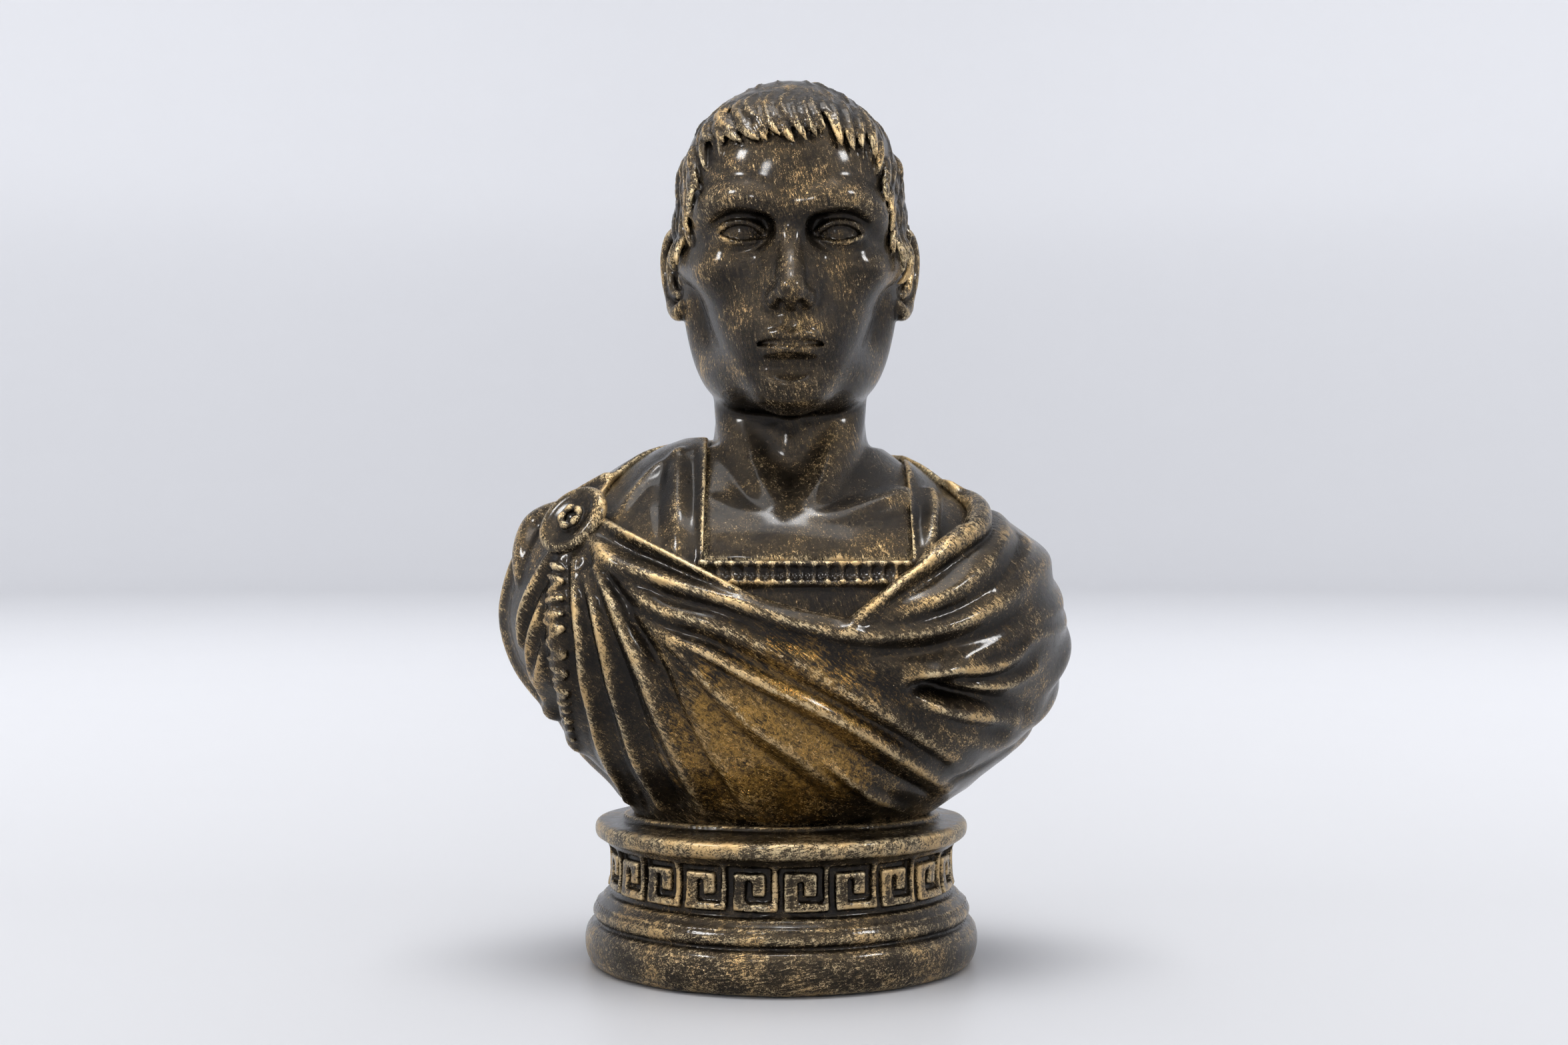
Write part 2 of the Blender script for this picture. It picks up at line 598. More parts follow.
def has_hair(p, spare=0.0):
    """Which points the hair covers: short back and sides, and a fringe; spare raises the hairline."""
    turn = np.degrees(np.arctan2(np.abs(p[:, 0]) / SCALP[0], (SCALP_CENTRE[1] - p[:, 1]) / SCALP[1]))
    hairline = np.interp(turn, (0, 40, 50, 57, 66, 76, 86, 96, 112, 126, 150, 180),
                         (33.6, 33.0, 30.5, 25.5, 21.5, 18.5, 19.0, 23.0, 21.0, 11.0, 5.0, 4.0))
    return p[:, 2] > hairline + spare


def hair_flow(p, n):
    """The way the hair lies at each point: away from the crown, down the sides, over the brow."""
    away = p - CROWN
    reach = np.linalg.norm(away, axis=1)[:, None]
    side = np.clip(np.abs(p[:, :1]) / 11.0, 0, 1) ** 2
    flow = away + side * reach * np.array((0.0, -0.3, -0.5))
    flow -= n * (flow * n).sum(1)[:, None]
    return flow / np.maximum(np.linalg.norm(flow, axis=1), 1e-6)[:, None]


def scalp_points(count, jitter, random):
    """Points spread evenly round the skull, in the order of a spiral from its top."""
    i = np.arange(count) + 0.5
    z = 1 - 2 * i / count
    turn = i * math.pi * (3 - math.sqrt(5))
    ring = np.sqrt(1 - z * z)
    p = SCALP_CENTRE + SCALP * np.stack([np.cos(turn) * ring, np.sin(turn) * ring, z], axis=1)
    return p + random.normal(0, jitter, p.shape)


def hair(clay, seed=7):
    """Overlapping comma locks over a close cap, laid from the hairline up to the crown."""
    random = np.random.default_rng(seed)
    bare = Clay.copy_of(clay)
    cap, _ = bare.on_surface(scalp_points(2200, 0.1, random), rounds=8)
    cap = cap[has_hair(cap)]
    inner, _ = bare.on_surface(cap, -1.4)
    for p in inner:
        clay.egg(p, (1.7, 1.7, 1.7), 0.8)
    roots, _ = bare.on_surface(scalp_points(760, 0.35, random), rounds=8)
    roots = roots[has_hair(roots, 0.3)]
    roots = roots[np.argsort(-np.linalg.norm(roots - CROWN, axis=1))]
    count = len(roots)
    curl = random.uniform(0.1, 0.7, count) * np.where(roots[:, 0] > -5, 1, -0.5)
    length = random.uniform(4.8, 6.8, count) + 2.0 * (roots[:, 2] > 30)
    lift = random.uniform(-0.2, 0.28, count) - 0.4 * (roots[:, 2] > 30)
    locks(clay, bare, roots, length, curl, lift, 0.4)
    for rise, shift, first, reach in ((34.7, 0, 0.0, 5.6), (36.7, 4, 0.2, 7.9)):
        turn = np.radians(np.linspace(-50, 50, 13) + shift + random.normal(0, 1.6, 13))
        front = np.stack([np.sin(turn) * 12.3, -np.cos(turn) * 15.0, rise - 1.3 * turn ** 2], axis=1)
        fringe, _ = bare.on_surface(front, rounds=12)
        locks(clay, bare, fringe, random.uniform(reach - 0.8, reach + 1.2, 13),
              random.uniform(0.3, 1.0, 13), random.uniform(first, first + 0.3, 13), 0.56)


def locks(clay, bare, roots, length, curl, lift, spread=0.42, strands=3, steps=9):
    """Locks of a few strands that leave the scalp, curl to one side and meet in a point."""
    p, paths = roots, []
    for step in range(steps):
        t = step / (steps - 1)
        p, n = bare.on_surface(p)
        flow = hair_flow(p, n)
        bend = (curl * (t - 0.3) * 1.8)[:, None]
        way = flow * np.cos(bend) + np.cross(n, flow) * np.sin(bend)
        across = np.cross(n, way)
        height = lift + 0.78 * math.sin(math.pi * min(t * 0.7 + 0.08, 1)) - 0.05
        radius = 0.34 * (1 - t) ** 0.5 + 0.09
        row = []
        for k in range(strands):
            off = k - (strands - 1) / 2
            aside = across * off * 2 * spread * (1 - 0.9 * t * t) * 0.55
            q, _ = bare.on_surface(p + aside, height - 0.2 * abs(off), rounds=2)
            row.append(np.c_[q, np.full(len(q), radius)])
        paths.append(row)
        p = p + way * (length / steps)[:, None]
    for i in range(len(roots)):
        for k in range(strands):
            for a, b in zip(paths, paths[1:]):
                p, q = a[k][i], b[k][i]
                clay.cone(p[:3], q[:3], p[3], q[3], 0.08)


def sculpt_head(voxel):
    """The head, neck and bare chest, down to the flat that beds in the tunic's neckline."""
    clay = Clay((-16.8, -22, -17), (16.8, 19.4, 39.6), voxel)
    clay.origin = np.array((1.0, 0.0, 61.6))
    clay.field = body_field(clay, SKIN_INSET)
    neck(clay)
    low, high = NECK_OPENING
    low, high = np.add(low, (-0.3, -0.3, -0.3)), np.add(high, (0.3, 0.3, 0))
    clay.field = soft_max(clay.field, block_field(clay, low, high, NECK_CORNER), 0.2)
    skull(clay)
    eyes(clay)
    nose(clay)
    mouth(clay)
    ears(clay)
    hair(clay)
    return clay


# ---- cloak ---------------------------------------------------------------------------------------

CLOAK_BASE = 0.5  # the drapery's mean surface lies this far inside the body's outline
CLOAK_WALL = 0.9  # the least thickness left under a deep fold
VIEWER = (0.3, -248.0, 49.6)  # front x and z are laid out as this eye sees them on the y = 0 plane
# the cloak's edge from in front, as x and z, and the horseshoe it leaves open from above, as x and y
FRONT_EDGE = (
    (-21.0, 50.6), (-15.0, 47.4), (-9.0, 44.4), (-3.4, 41.4), (2.0, 39.8), (7.6, 38.6),
    (13.4, 43.4), (18.0, 46.6), (22.6, 49.8), (26.0, 66.0), (-26.0, 66.0),
)
SHOULDER_TOP = 60.0  # the front edge's points above this clear the cloth, where it doesn't show
TOP_EDGE = (
    (-21.2, -34.0), (-21.2, -9.5), (-19.2, -4.2), (-14.6, 2.4), (-9.4, 7.6), (-3.4, 10.4),
    (3.4, 10.8), (9.6, 8.8), (14.8, 3.4), (19.6, -3.4), (22.8, -10.0), (22.8, -34.0),
)

# Each fold: width, whether it is a sharp crease, and rows of x, z, height seen from the front.
# Heights below nought are valleys. Rows after a None are azimuth, z, height, where azimuth is 0 in
# front and 90 on the sitter's left.
FRONT_FOLDS = (
    # rolled upper edge, the long swag under it and the rolls below, from the brooch
    (0.9, False, ((-20.5, 50.0, 0.6), (-17.5, 48.3, 1.4), (-14.0, 46.6, 1.5), (-10.3, 44.6, 1.4),
                  (-6.0, 42.5, 1.1), (-3.0, 41.2, 0.4))),
    (0.7, True, ((-20.5, 47.9, -0.6), (-17.3, 46.5, -1.7), (-14.0, 45.2, -1.9), (-9.8, 43.3, -1.8),
                 (-6.1, 41.9, -1.3), (-3.0, 40.8, -0.3))),
    (1.1, False, ((-21.9, 47.4, 0.7), (-18.7, 44.9, 1.3), (-14.9, 43.3, 1.5), (-8.0, 41.2, 1.4),
                  (-3.3, 39.7, 1.3), (1.4, 38.2, 1.3), (6.0, 37.1, 1.3), (10.7, 36.5, 1.3),
                  (15.3, 36.7, 1.2), (20.0, 37.8, 1.2), (23.7, 39.4, 1.1), (27.0, 41.5, 1.1),
                  (29.2, 44.0, 1.0), None, (90, 46.4, 1.0), (110, 50.2, 0.9),
                  (132, 53.2, 0.6), (148, 55.0, 0.1))),
    (0.5, True, ((-16.2, 42.9, -0.3), (-13.5, 41.4, -1.0), (-9.8, 40.3, -0.9), (-5.6, 39.2, -0.6),
                 (-2.5, 38.0, -0.2))),
    (1.6, False, ((9.0, 34.8, -0.3), (13.0, 34.9, -0.9), (18.0, 35.2, -1.0), (24.0, 36.8, -0.9),
                  (29.0, 40.0, -0.8), None, (88, 43.2, -0.9), (108, 47.2, -0.9),
                  (130, 50.6, -0.7), (148, 52.6, -0.1))),
    (1.1, False, ((-20.7, 46.2, 0.5), (-17.5, 42.2, 1.0), (-14.0, 39.7, 1.0), (-10.3, 38.6, 1.1),
                  (-7.0, 37.6, 1.0), (-3.3, 36.0, 0.9), (0.5, 34.7, 0.8), (4.0, 33.3, 0.3))),
    (0.6, True, ((-20.5, 44.6, -0.6), (-17.6, 40.6, -1.3), (-14.9, 38.4, -1.3), (-11.7, 37.0, -1.2),
                 (-8.0, 35.9, -1.1), (-4.2, 33.9, -0.9), (-0.5, 32.0, -0.7), (3.4, 30.4, -0.9),
                 (9.0, 27.6, -1.4), (14.4, 24.8, -1.6), (18.6, 22.4, -0.8))),
    (1.0, False, ((-20.9, 44.4, 0.6), (-17.9, 40.0, 1.1), (-13.5, 36.8, 1.2), (-9.0, 34.8, 1.2),
                  (-4.2, 32.4, 1.2), (0.5, 30.2, 1.2), (4.6, 28.3, 1.2), (9.2, 25.9, 1.2),
                  (13.4, 23.3, 1.2), (16.7, 21.2, 1.0), (19.4, 19.2, 0.4))),
    (1.3, False, ((-1.5, 34.8, 0.3), (4.1, 32.2, 0.9), (8.8, 29.6, 1.0), (13.4, 27.0, 1.1),
                  (17.8, 24.0, 1.1), (21.6, 22.0, 0.6))),
    (0.6, True, ((-19.0, 42.0, -0.8), (-16.4, 38.4, -1.4), (-11.7, 35.6, -1.4), (-6.1, 32.4, -1.4),
                 (-1.4, 29.5, -1.3), (2.7, 27.0, -1.3), (7.4, 23.9, -1.4), (12.5, 20.9, -1.3),
                 (17.4, 18.4, -0.8))),
    # broad panels between the creases
    (3.0, False, ((-14.0, 34.4, 0.2), (-8.0, 30.6, 0.7), (-2.0, 26.6, 0.8), (4.0, 22.6, 0.8),
                  (10.5, 18.6, 0.6))),
    (0.5, True, ((-14.0, 36.2, -0.5), (-9.8, 31.3, -1.0), (-6.1, 27.0, -1.1), (-2.4, 23.7, -1.0),
                 (1.4, 21.2, -1.0), (5.1, 18.2, -0.9), (7.6, 16.4, -0.6))),
    (0.8, False, ((-12.4, 35.6, 0.3), (-8.0, 31.2, 0.6), (-3.3, 26.8, 0.6), (1.4, 23.6, 0.6),
                  (6.0, 20.0, 0.4))),
    (2.4, False, ((-14.0, 32.5, 0.2), (-11.0, 27.0, 0.7), (-7.5, 22.0, 0.8), (-4.0, 17.8, 0.7))),
    (0.8, True, ((-20.0, 43.6, -0.7), (-16.7, 37.5, -1.9), (-13.7, 32.6, -1.7), (-11.7, 28.2, -1.4),
                 (-9.3, 23.6, -1.4), (-7.0, 19.9, -1.3), (-4.8, 16.8, -1.0))),
    (1.1, False, ((-21.2, 43.8, 0.6), (-19.1, 39.4, 1.1), (-17.3, 35.5, 1.2), (-15.7, 32.0, 1.2),
                  (-14.2, 28.2, 1.2), (-12.4, 24.1, 1.1), (-10.6, 20.3, 1.0), (-9.2, 17.2, 0.8))),
    (0.5, True, ((-21.7, 44.6, -0.5), (-20.3, 39.8, -1.2), (-18.9, 35.5, -1.2), (-17.4, 31.0, -1.2),
                 (-15.9, 26.4, -1.2), (-14.3, 21.7, -1.2), (-12.2, 17.5, -1.0))),
    (0.9, False, ((-22.5, 43.6, 0.6), (-21.3, 38.9, 1.1), (-20.2, 34.3, 1.1), (-19.0, 29.6, 1.1),
                  (-17.5, 25.0, 1.1), (-15.8, 20.8, 1.0), (-14.0, 17.5, 0.8))),
    (0.5, True, ((-23.2, 44.2, -0.6), (-22.3, 39.4, -1.3), (-21.5, 34.8, -1.3), (-20.5, 30.1, -1.3),
                 (-19.2, 25.0, -1.2), (-17.6, 20.8, -1.1), (-15.9, 17.2, -0.9))),
    (0.9, False, ((-23.7, 45.0, 0.6), (-23.5, 40.3, 1.1), (-23.0, 35.7, 1.2), (-22.2, 30.1, 1.2),
                  (-21.1, 25.5, 1.1), (-19.6, 21.7, 1.0), (-17.8, 18.2, 0.8))),
    (0.5, True, ((-24.6, 45.4, -0.6), (-24.6, 40.3, -1.3), (-24.2, 35.7, -1.4), (-23.6, 31.0, -1.3),
                 (-22.7, 26.4, -1.1), (-21.0, 21.7, -0.6))),
    (1.1, False, ((-25.5, 45.4, 0.5), (-26.0, 40.3, 0.9), (-25.8, 35.7, 0.9), (-25.2, 31.0, 0.9),
                  (-24.5, 27.3, 0.9), (-23.4, 24.1, 0.7))),
    (0.6, True, ((-26.6, 44.6, -0.6), (-27.5, 39.8, -1.2), (-27.2, 35.0, -1.3), (-26.4, 30.4, -1.3),
                 (-25.3, 26.6, -1.0), (-24.0, 23.6, -0.6))),
    # folds over the right arm
    (0.9, False, ((-26.6, 46.0, 0.5), (-28.6, 42.0, 1.0), (-29.8, 38.6, 1.0), (-29.9, 36.0, 0.7))),
    (0.9, False, ((-26.8, 42.6, 0.3), (-28.1, 38.4, 1.0), (-28.9, 34.6, 1.0), (-28.6, 32.2, 0.6))),
    (0.9, False, ((-26.8, 37.6, 0.3), (-27.6, 34.0, 0.9), (-27.8, 31.0, 0.9), (-26.8, 28.0, 0.5))),
    (0.5, True, ((-27.0, 44.0, -0.5), (-28.5, 40.2, -1.1), (-29.4, 36.6, -1.0), (-29.2, 34.0, -0.5))),
    (0.5, True, ((-26.9, 40.0, -0.5), (-28.0, 36.0, -1.1), (-28.3, 33.0, -1.0), (-27.8, 30.5, -0.5))),
    # the opening's right edge, and the swags that hang from the left shoulder
    (0.9, False, ((8.1, 37.9, 0.5), (10.9, 40.2, 1.0), (14.6, 43.4, 1.1), (18.4, 46.1, 1.2),
                  (21.6, 48.6, 1.3), (22.9, 50.6, 1.3), (21.8, 52.3, 1.1), (19.4, 53.9, 0.8),
                  (16.0, 56.4, 0.6), (12.4, 58.8, 0.5))),
    (0.7, True, ((10.2, 39.0, -0.5), (14.8, 41.8, -1.0), (18.6, 44.1, -1.2), (22.0, 46.8, -1.3),
                 (24.0, 49.4, -1.1), (24.1, 51.4, -0.6))),
    (1.2, False, ((11.6, 38.6, 0.3), (16.0, 39.9, 0.8), (20.0, 41.8, 1.0), (23.6, 44.6, 1.1),
                  (25.6, 47.6, 1.0), (25.2, 50.4, 0.8))),
    (0.7, True, ((15.0, 38.4, -0.3), (20.0, 39.7, -0.9), (24.4, 42.3, -1.1), (27.0, 45.4, -1.1),
                 (27.4, 48.2, -0.8))),
    (1.0, False, ((24.6, 42.6, 0.4), (27.3, 44.8, 0.9), (28.4, 47.6, 0.9))),
    (1.2, False, ((9.5, 33.6, 0.2), (15.3, 33.2, 0.7), (20.0, 34.0, 0.9), (24.8, 35.5, 0.9),
                  (28.8, 38.0, 0.9), None, (86, 41.4, 1.0), (108, 45.0, 1.0), (135, 48.6, 1.1),
                  (156, 48.4, 1.2), (176, 46.8, 1.3), (-168, 47.2, 1.2), (-152, 50.2, 0.9),
                  (-140, 53.6, 0.1))),
    (0.8, False, ((13.8, 31.7, 0.3), (16.6, 32.2, 1.1), (20.0, 32.8, 1.4), (24.1, 33.0, 1.5),
                  (27.2, 34.4, 1.4), (29.6, 36.6, 1.1), None, (84, 38.4, 1.0), (104, 41.6, 0.8),
                  (124, 44.4, 0.3), (134, 45.6, 0.1))),
    (1.0, False, ((15.8, 30.9, -1.0), (18.4, 30.2, -2.4), (22.0, 29.6, -2.2), (25.6, 28.9, -1.6),
                  (28.0, 28.6, -0.8))),
    (0.7, True, ((17.0, 31.3, -0.8), (21.0, 31.6, -1.6), (25.4, 32.0, -1.5), (29.0, 33.8, -0.8))),
    (0.7, False, ((19.6, 30.8, 0.3), (23.6, 30.9, 1.2), (27.2, 31.4, 1.2), (29.6, 33.0, 0.7))),
    (0.9, False, ((16.8, 29.3, 0.5), (19.6, 28.3, 1.1), (23.2, 27.5, 1.2), (27.0, 27.2, 1.0))),
    (0.6, True, ((17.4, 27.6, -0.4), (21.0, 26.4, -1.0), (25.0, 25.8, -1.0), (28.0, 26.0, -0.6))),
    (1.4, False, ((16.0, 28.4, 0.2), (19.4, 25.8, 0.8), (23.4, 24.3, 0.9), (27.2, 24.6, 0.7))),
    (0.6, True, ((18.4, 19.6, -0.8), (21.8, 21.0, -1.1), (25.0, 22.8, -1.0), (27.8, 25.2, -0.6))),
    (0.5, True, ((2.6, 23.2, -0.3), (6.0, 20.7, -1.0), (9.0, 18.7, -1.1), (12.6, 16.9, -0.8))),
    (0.7, False, ((5.2, 22.6, 0.2), (8.4, 20.2, 0.7), (11.4, 18.2, 0.7), (14.0, 17.0, 0.4))),
    # the shoulder above the brooch
    (0.9, False, ((-19.8, 53.6, 0.6), (-16.6, 56.0, 0.8), (-13.2, 58.4, 0.7))),
    (0.8, False, ((-26.6, 49.6, 0.3), (-24.4, 52.2, 0.8), (-20.4, 54.6, 0.8))),
)
# seen from the side and back: azimuth, z, height
SIDE_FOLDS = (
    # hanging from the brooch over the right arm
    (1.1, False, ((-78, 49.0, 0.2), (-83, 43.0, 1.0), (-85, 36.0, 1.0), (-81, 30.0, 0.9),
                  (-75, 25.0, 0.4))),
    (1.2, False, ((-95, 50.0, 0.2), (-99, 44.0, 1.0), (-101, 37.0, 1.1), (-98, 30.0, 1.1),
                  (-91, 23.0, 0.7), (-88, 19.0, 0.5))),
    (1.2, False, ((-112, 51.0, 0.2), (-117, 45.0, 1.0), (-118, 38.0, 1.1), (-115, 31.0, 1.1),
                  (-108, 24.0, 0.8), (-104, 18.5, 0.5))),
    (1.3, False, ((-128, 51.0, 0.2), (-133, 44.0, 1.0), (-134, 37.0, 1.1), (-131, 30.0, 1.1),
                  (-124, 23.0, 0.9), (-120, 18.0, 0.6))),
    (0.6, True, ((-88, 47.0, -0.3), (-92, 41.0, -1.2), (-93, 34.0, -1.2), (-88, 27.0, -1.0),
                 (-82, 21.0, -0.5))),
    (0.6, True, ((-104, 48.0, -0.3), (-108, 42.0, -1.2), (-109, 35.0, -1.2), (-106, 28.0, -1.1),
                 (-99, 21.0, -0.7))),
    (0.6, True, ((-121, 48.0, -0.3), (-125, 42.0, -1.2), (-126, 35.0, -1.2), (-122, 28.0, -1.1),
                 (-115, 20.5, -0.7))),
    # the collar behind the neck, and the cloth over each shoulder
    (1.1, False, ((-150, 59.2, 0.3), (-165, 59.4, 0.8), (180, 59.5, 0.9), (165, 59.4, 0.8),
                  (150, 59.2, 0.3))),
    (1.2, False, ((-96, 55.0, 0.2), (-120, 56.4, 0.8), (-150, 56.2, 0.9), (-175, 55.2, 0.9),
                  (160, 55.6, 0.9), (135, 56.6, 0.8), (105, 55.6, 0.2))),
)
# swags right round the back, each with a crease under it: azimuth, z, height
SWAGS = (
    ((72, 31.0, 0.3), (84, 34.6, 0.9), (105, 38.6, 1.0), (128, 41.6, 1.2), (150, 40.0, 1.3),
     (175, 37.2, 1.4), (-166, 38.0, 1.2), (-150, 41.6, 0.9), (-138, 46.0, 0.1)),
    ((62, 27.0, 0.5), (78, 28.4, 1.0), (98, 31.8, 1.1), (122, 35.2, 1.2), (147, 33.4, 1.3),
     (173, 30.4, 1.4), (-167, 30.8, 1.3), (-150, 34.0, 0.9), (-139, 38.6, 0.1)),
    ((80, 24.0, 0.2), (96, 26.6, 0.9), (120, 28.8, 1.1), (147, 26.8, 1.2), (174, 24.0, 1.2),
     (-166, 24.2, 1.1), (-148, 27.0, 0.7), (-138, 30.0, 0.1)),
    ((92, 19.6, 0.3), (115, 22.4, 0.8), (145, 20.8, 0.9), (175, 18.8, 0.8), (-160, 19.0, 0.8),
     (-140, 21.0, 0.4)),
)
# folds of cloth that stand clear of the shoulders: x, z, how far back from the front, radius
LEFT_TUCK = ((16.6, 45.4, 0.5, 0.7), (20.0, 47.6, 0.4, 0.9), (22.3, 49.2, 0.3, 1.05), (22.5, 51.0, 0.6, 0.9),
             (21.4, 52.4, 1.0, 0.5))
RIGHT_TUCK = ((-29.6, 43.0, 2.2, 0.7), (-29.4, 46.4, 1.6, 1.0), (-28.0, 49.2, 1.2, 1.25),
              (-25.6, 50.9, 1.4, 0.9))
TUCK_HOLLOW = (20.3, 49.7)  # x and z of the dip inside the left tuck
BODY_HALF = (32, 22)  # the body's greatest half width and half depth
CREASE_DEPTH = 1.3  # how much deeper the front's sharp creases are cut than their rows say
FLATTER = 0.68  # how much the front folds flatten towards the sitter's left
FLATTER_FROM, FLATTER_OVER = 17, 9  # the x where that begins, and the width it takes
SWAG_WIDTH, SWAG_CREASE_WIDTH = 1.8, 0.7
SWAG_CREASE_DROP, SWAG_CREASE_DEPTH = 3.1, 0.75  # how far below a swag's crest its crease runs, and its share
SIDEMOST = 0.985  # the furthest out, in half widths, that the front's layout may reach
# the tunic's own folds, as x, z, height: the neckline's lip, band and pleats, then the shoulders
TUNIC_FOLDS = (
    (0.42, False, ((-9.6, 44.95, 0.7), (-4.0, 44.9, 0.8), (2.5, 44.85, 0.8), (9.0, 44.9, 0.8),
                   (15.0, 44.95, 0.7))),
    (0.38, False, ((-9.0, 42.7, 0.5), (-3.0, 42.6, 0.6), (3.0, 42.55, 0.6), (9.0, 42.6, 0.6),
                   (12.6, 42.7, 0.5))),
    (0.5, True, ((-9.4, 43.9, -0.2), (2.5, 43.8, -0.3), (14.0, 43.9, -0.2))),
    (0.6, False, ((-9.2, 44.6, 0.3), (-9.2, 48.0, 0.4), (-9.3, 52.0, 0.4), (-9.4, 56.0, 0.4),
                  (-9.4, 58.6, 0.3))),
    (0.4, True, ((-10.4, 45.0, -0.4), (-10.5, 49.0, -0.6), (-10.7, 53.0, -0.6), (-10.8, 57.8, -0.5))),
    (1.0, False, ((-12.4, 46.0, 0.2), (-12.6, 50.0, 0.5), (-12.8, 54.0, 0.6), (-12.9, 57.4, 0.4))),
    (0.8, False, ((-19.6, 50.4, 0.2), (-18.0, 53.0, 0.5), (-15.6, 55.6, 0.6), (-13.0, 57.6, 0.3))),
    (0.6, True, ((-14.6, 47.4, -0.4), (-14.9, 50.6, -0.7), (-14.9, 54.0, -0.7), (-14.4, 56.8, -0.4))),
    (0.6, False, ((15.2, 44.6, 0.3), (15.3, 48.0, 0.5), (15.3, 52.0, 0.5), (14.8, 56.0, 0.4))),
    (0.45, True, ((16.6, 46.0, -0.5), (16.8, 49.0, -0.8), (16.9, 52.0, -0.8), (15.9, 55.6, -0.5))),
    (0.8, False, ((18.0, 46.8, 0.3), (18.4, 50.0, 0.8), (18.4, 53.0, 0.7))),
)
PLEATS = (-7.6, 14.8, 1.65)  # where the pleats under the neckline start and stop, and their spacing
PLEAT_TOP, PLEAT_FOOT = 44.7, 42.9
# the line of the gathered edge under the brooch, as x, z, height
FRILL = ((-25.5, 45.2, 0), (-26.0, 40.3, 0), (-25.8, 35.7, 0), (-25.2, 31.0, 0), (-24.5, 27.3, 0),
         (-23.4, 24.1, 0))


def on_body(x, z):
    """The point on the body's front that hides x and z of the y = 0 plane from VIEWER."""
    px, py, pz = x, 0.0, z
    for _ in range(5):
        cx, cy, hx, hy = np.concatenate(box_of(np.array([pz])))
        across = np.clip((px - cx) / hx, -SIDEMOST, SIDEMOST)
        py = cy - math.sqrt(1 - across ** 2) * hy
        near = 1 - py / VIEWER[1]
        px = VIEWER[0] + (x - VIEWER[0]) * near
        pz = VIEWER[2] + (z - VIEWER[2]) * near
    return cx + across * hx, py, pz


def round_body(azimuth, z):
    """The point on the body's outline at this azimuth and height."""
    cx, cy, hx, hy = np.concatenate(box_of(np.array([z])))
    a = math.radians(azimuth)
    return cx + math.sin(a) * hx, cy - math.cos(a) * hy, z


def fold_path(rows, place, inset):
    """A fold's rows as a smooth curve on the body drawn in by inset; place says where a row lies."""
    placed = []
    for row in rows:
        if row is None:
            place = round_body
        else:
            placed.append((*place(row[0], row[1]), row[2]))
    path = smooth_path(placed, 0.8)
    cx, cy, hx, hy = box_of(path[:, 2])
    ring = np.hypot((path[:, 0] - cx) / hx, (path[:, 1] - cy) / hy)
    path[:, 0] = cx + (path[:, 0] - cx) / ring * (1 - inset / hx)
    path[:, 1] = cy + (path[:, 1] - cy) / ring * (1 - inset / hy)
    return path


def outline_distance(u, v, outline):
    """Signed distance from points in a plane to a closed outline."""
    points = np.asarray(outline, float)
    shape = np.broadcast(u, v).shape
    near, inside = np.full(shape, 1e9), np.zeros(shape, bool)
    for p, q in zip(points, np.roll(points, -1, axis=0)):
        near = np.minimum(near, near_run((u, v), p, q)[0])
        if p[1] != q[1]:
            crossed = (v >= min(p[1], q[1])) & (v < max(p[1], q[1]))
            inside ^= crossed & (u < p[0] + (v - p[1]) * (q[0] - p[0]) / (q[1] - p[1]))
    return (np.sqrt(near) * np.where(inside, -1, 1)).astype(np.float32)


def outline_field(clay, outline, across, up):
    """Distance to a closed outline drawn in two of the axes, the same all along the third."""
    u, v = clay.axes[across][:, None], clay.axes[up][None, :]
    return np.expand_dims(outline_distance(u, v, outline), 3 - across - up)


def drape(voxel):
    """The folded surface of the cloak before its opening is cut, and its opening."""
    clay = Clay((-34, -24.4, 16.4), (34.6, 23.8, 62.6), voxel)
    base = body_field(clay, CLOAK_BASE)
    clay.field = base.copy()
    for width, cusp, rows in FRONT_FOLDS:
        path = fold_path(rows, on_body, CLOAK_BASE)
        if cusp:
            path[:, 3] *= CREASE_DEPTH
        path[:, 3] *= 1 - FLATTER * np.clip((path[:, 0] - FLATTER_FROM) / FLATTER_OVER, 0, 1)
        clay.relief(path, width, under=base, cusp=cusp)
    for width, cusp, rows in SIDE_FOLDS:
        path = fold_path(rows, round_body, CLOAK_BASE)
        clay.relief(path, width, under=base, cusp=cusp)
    for rows in SWAGS:
        clay.relief(fold_path(rows, round_body, CLOAK_BASE), SWAG_WIDTH, under=base)
        below = [(a, z - SWAG_CREASE_DROP, -SWAG_CREASE_DEPTH * h) for a, z, h in rows]
        clay.relief(fold_path(below, round_body, CLOAK_BASE), SWAG_CREASE_WIDTH, under=base, cusp=True)
    seen = [on_body(*p)[::2] if p[1] < SHOULDER_TOP else p for p in FRONT_EDGE]
    edge = outline_field(clay, seen, 0, 2)
    opening = soft_max(edge, outline_field(clay, TOP_EDGE, 0, 1), 2.0)
    return clay, opening


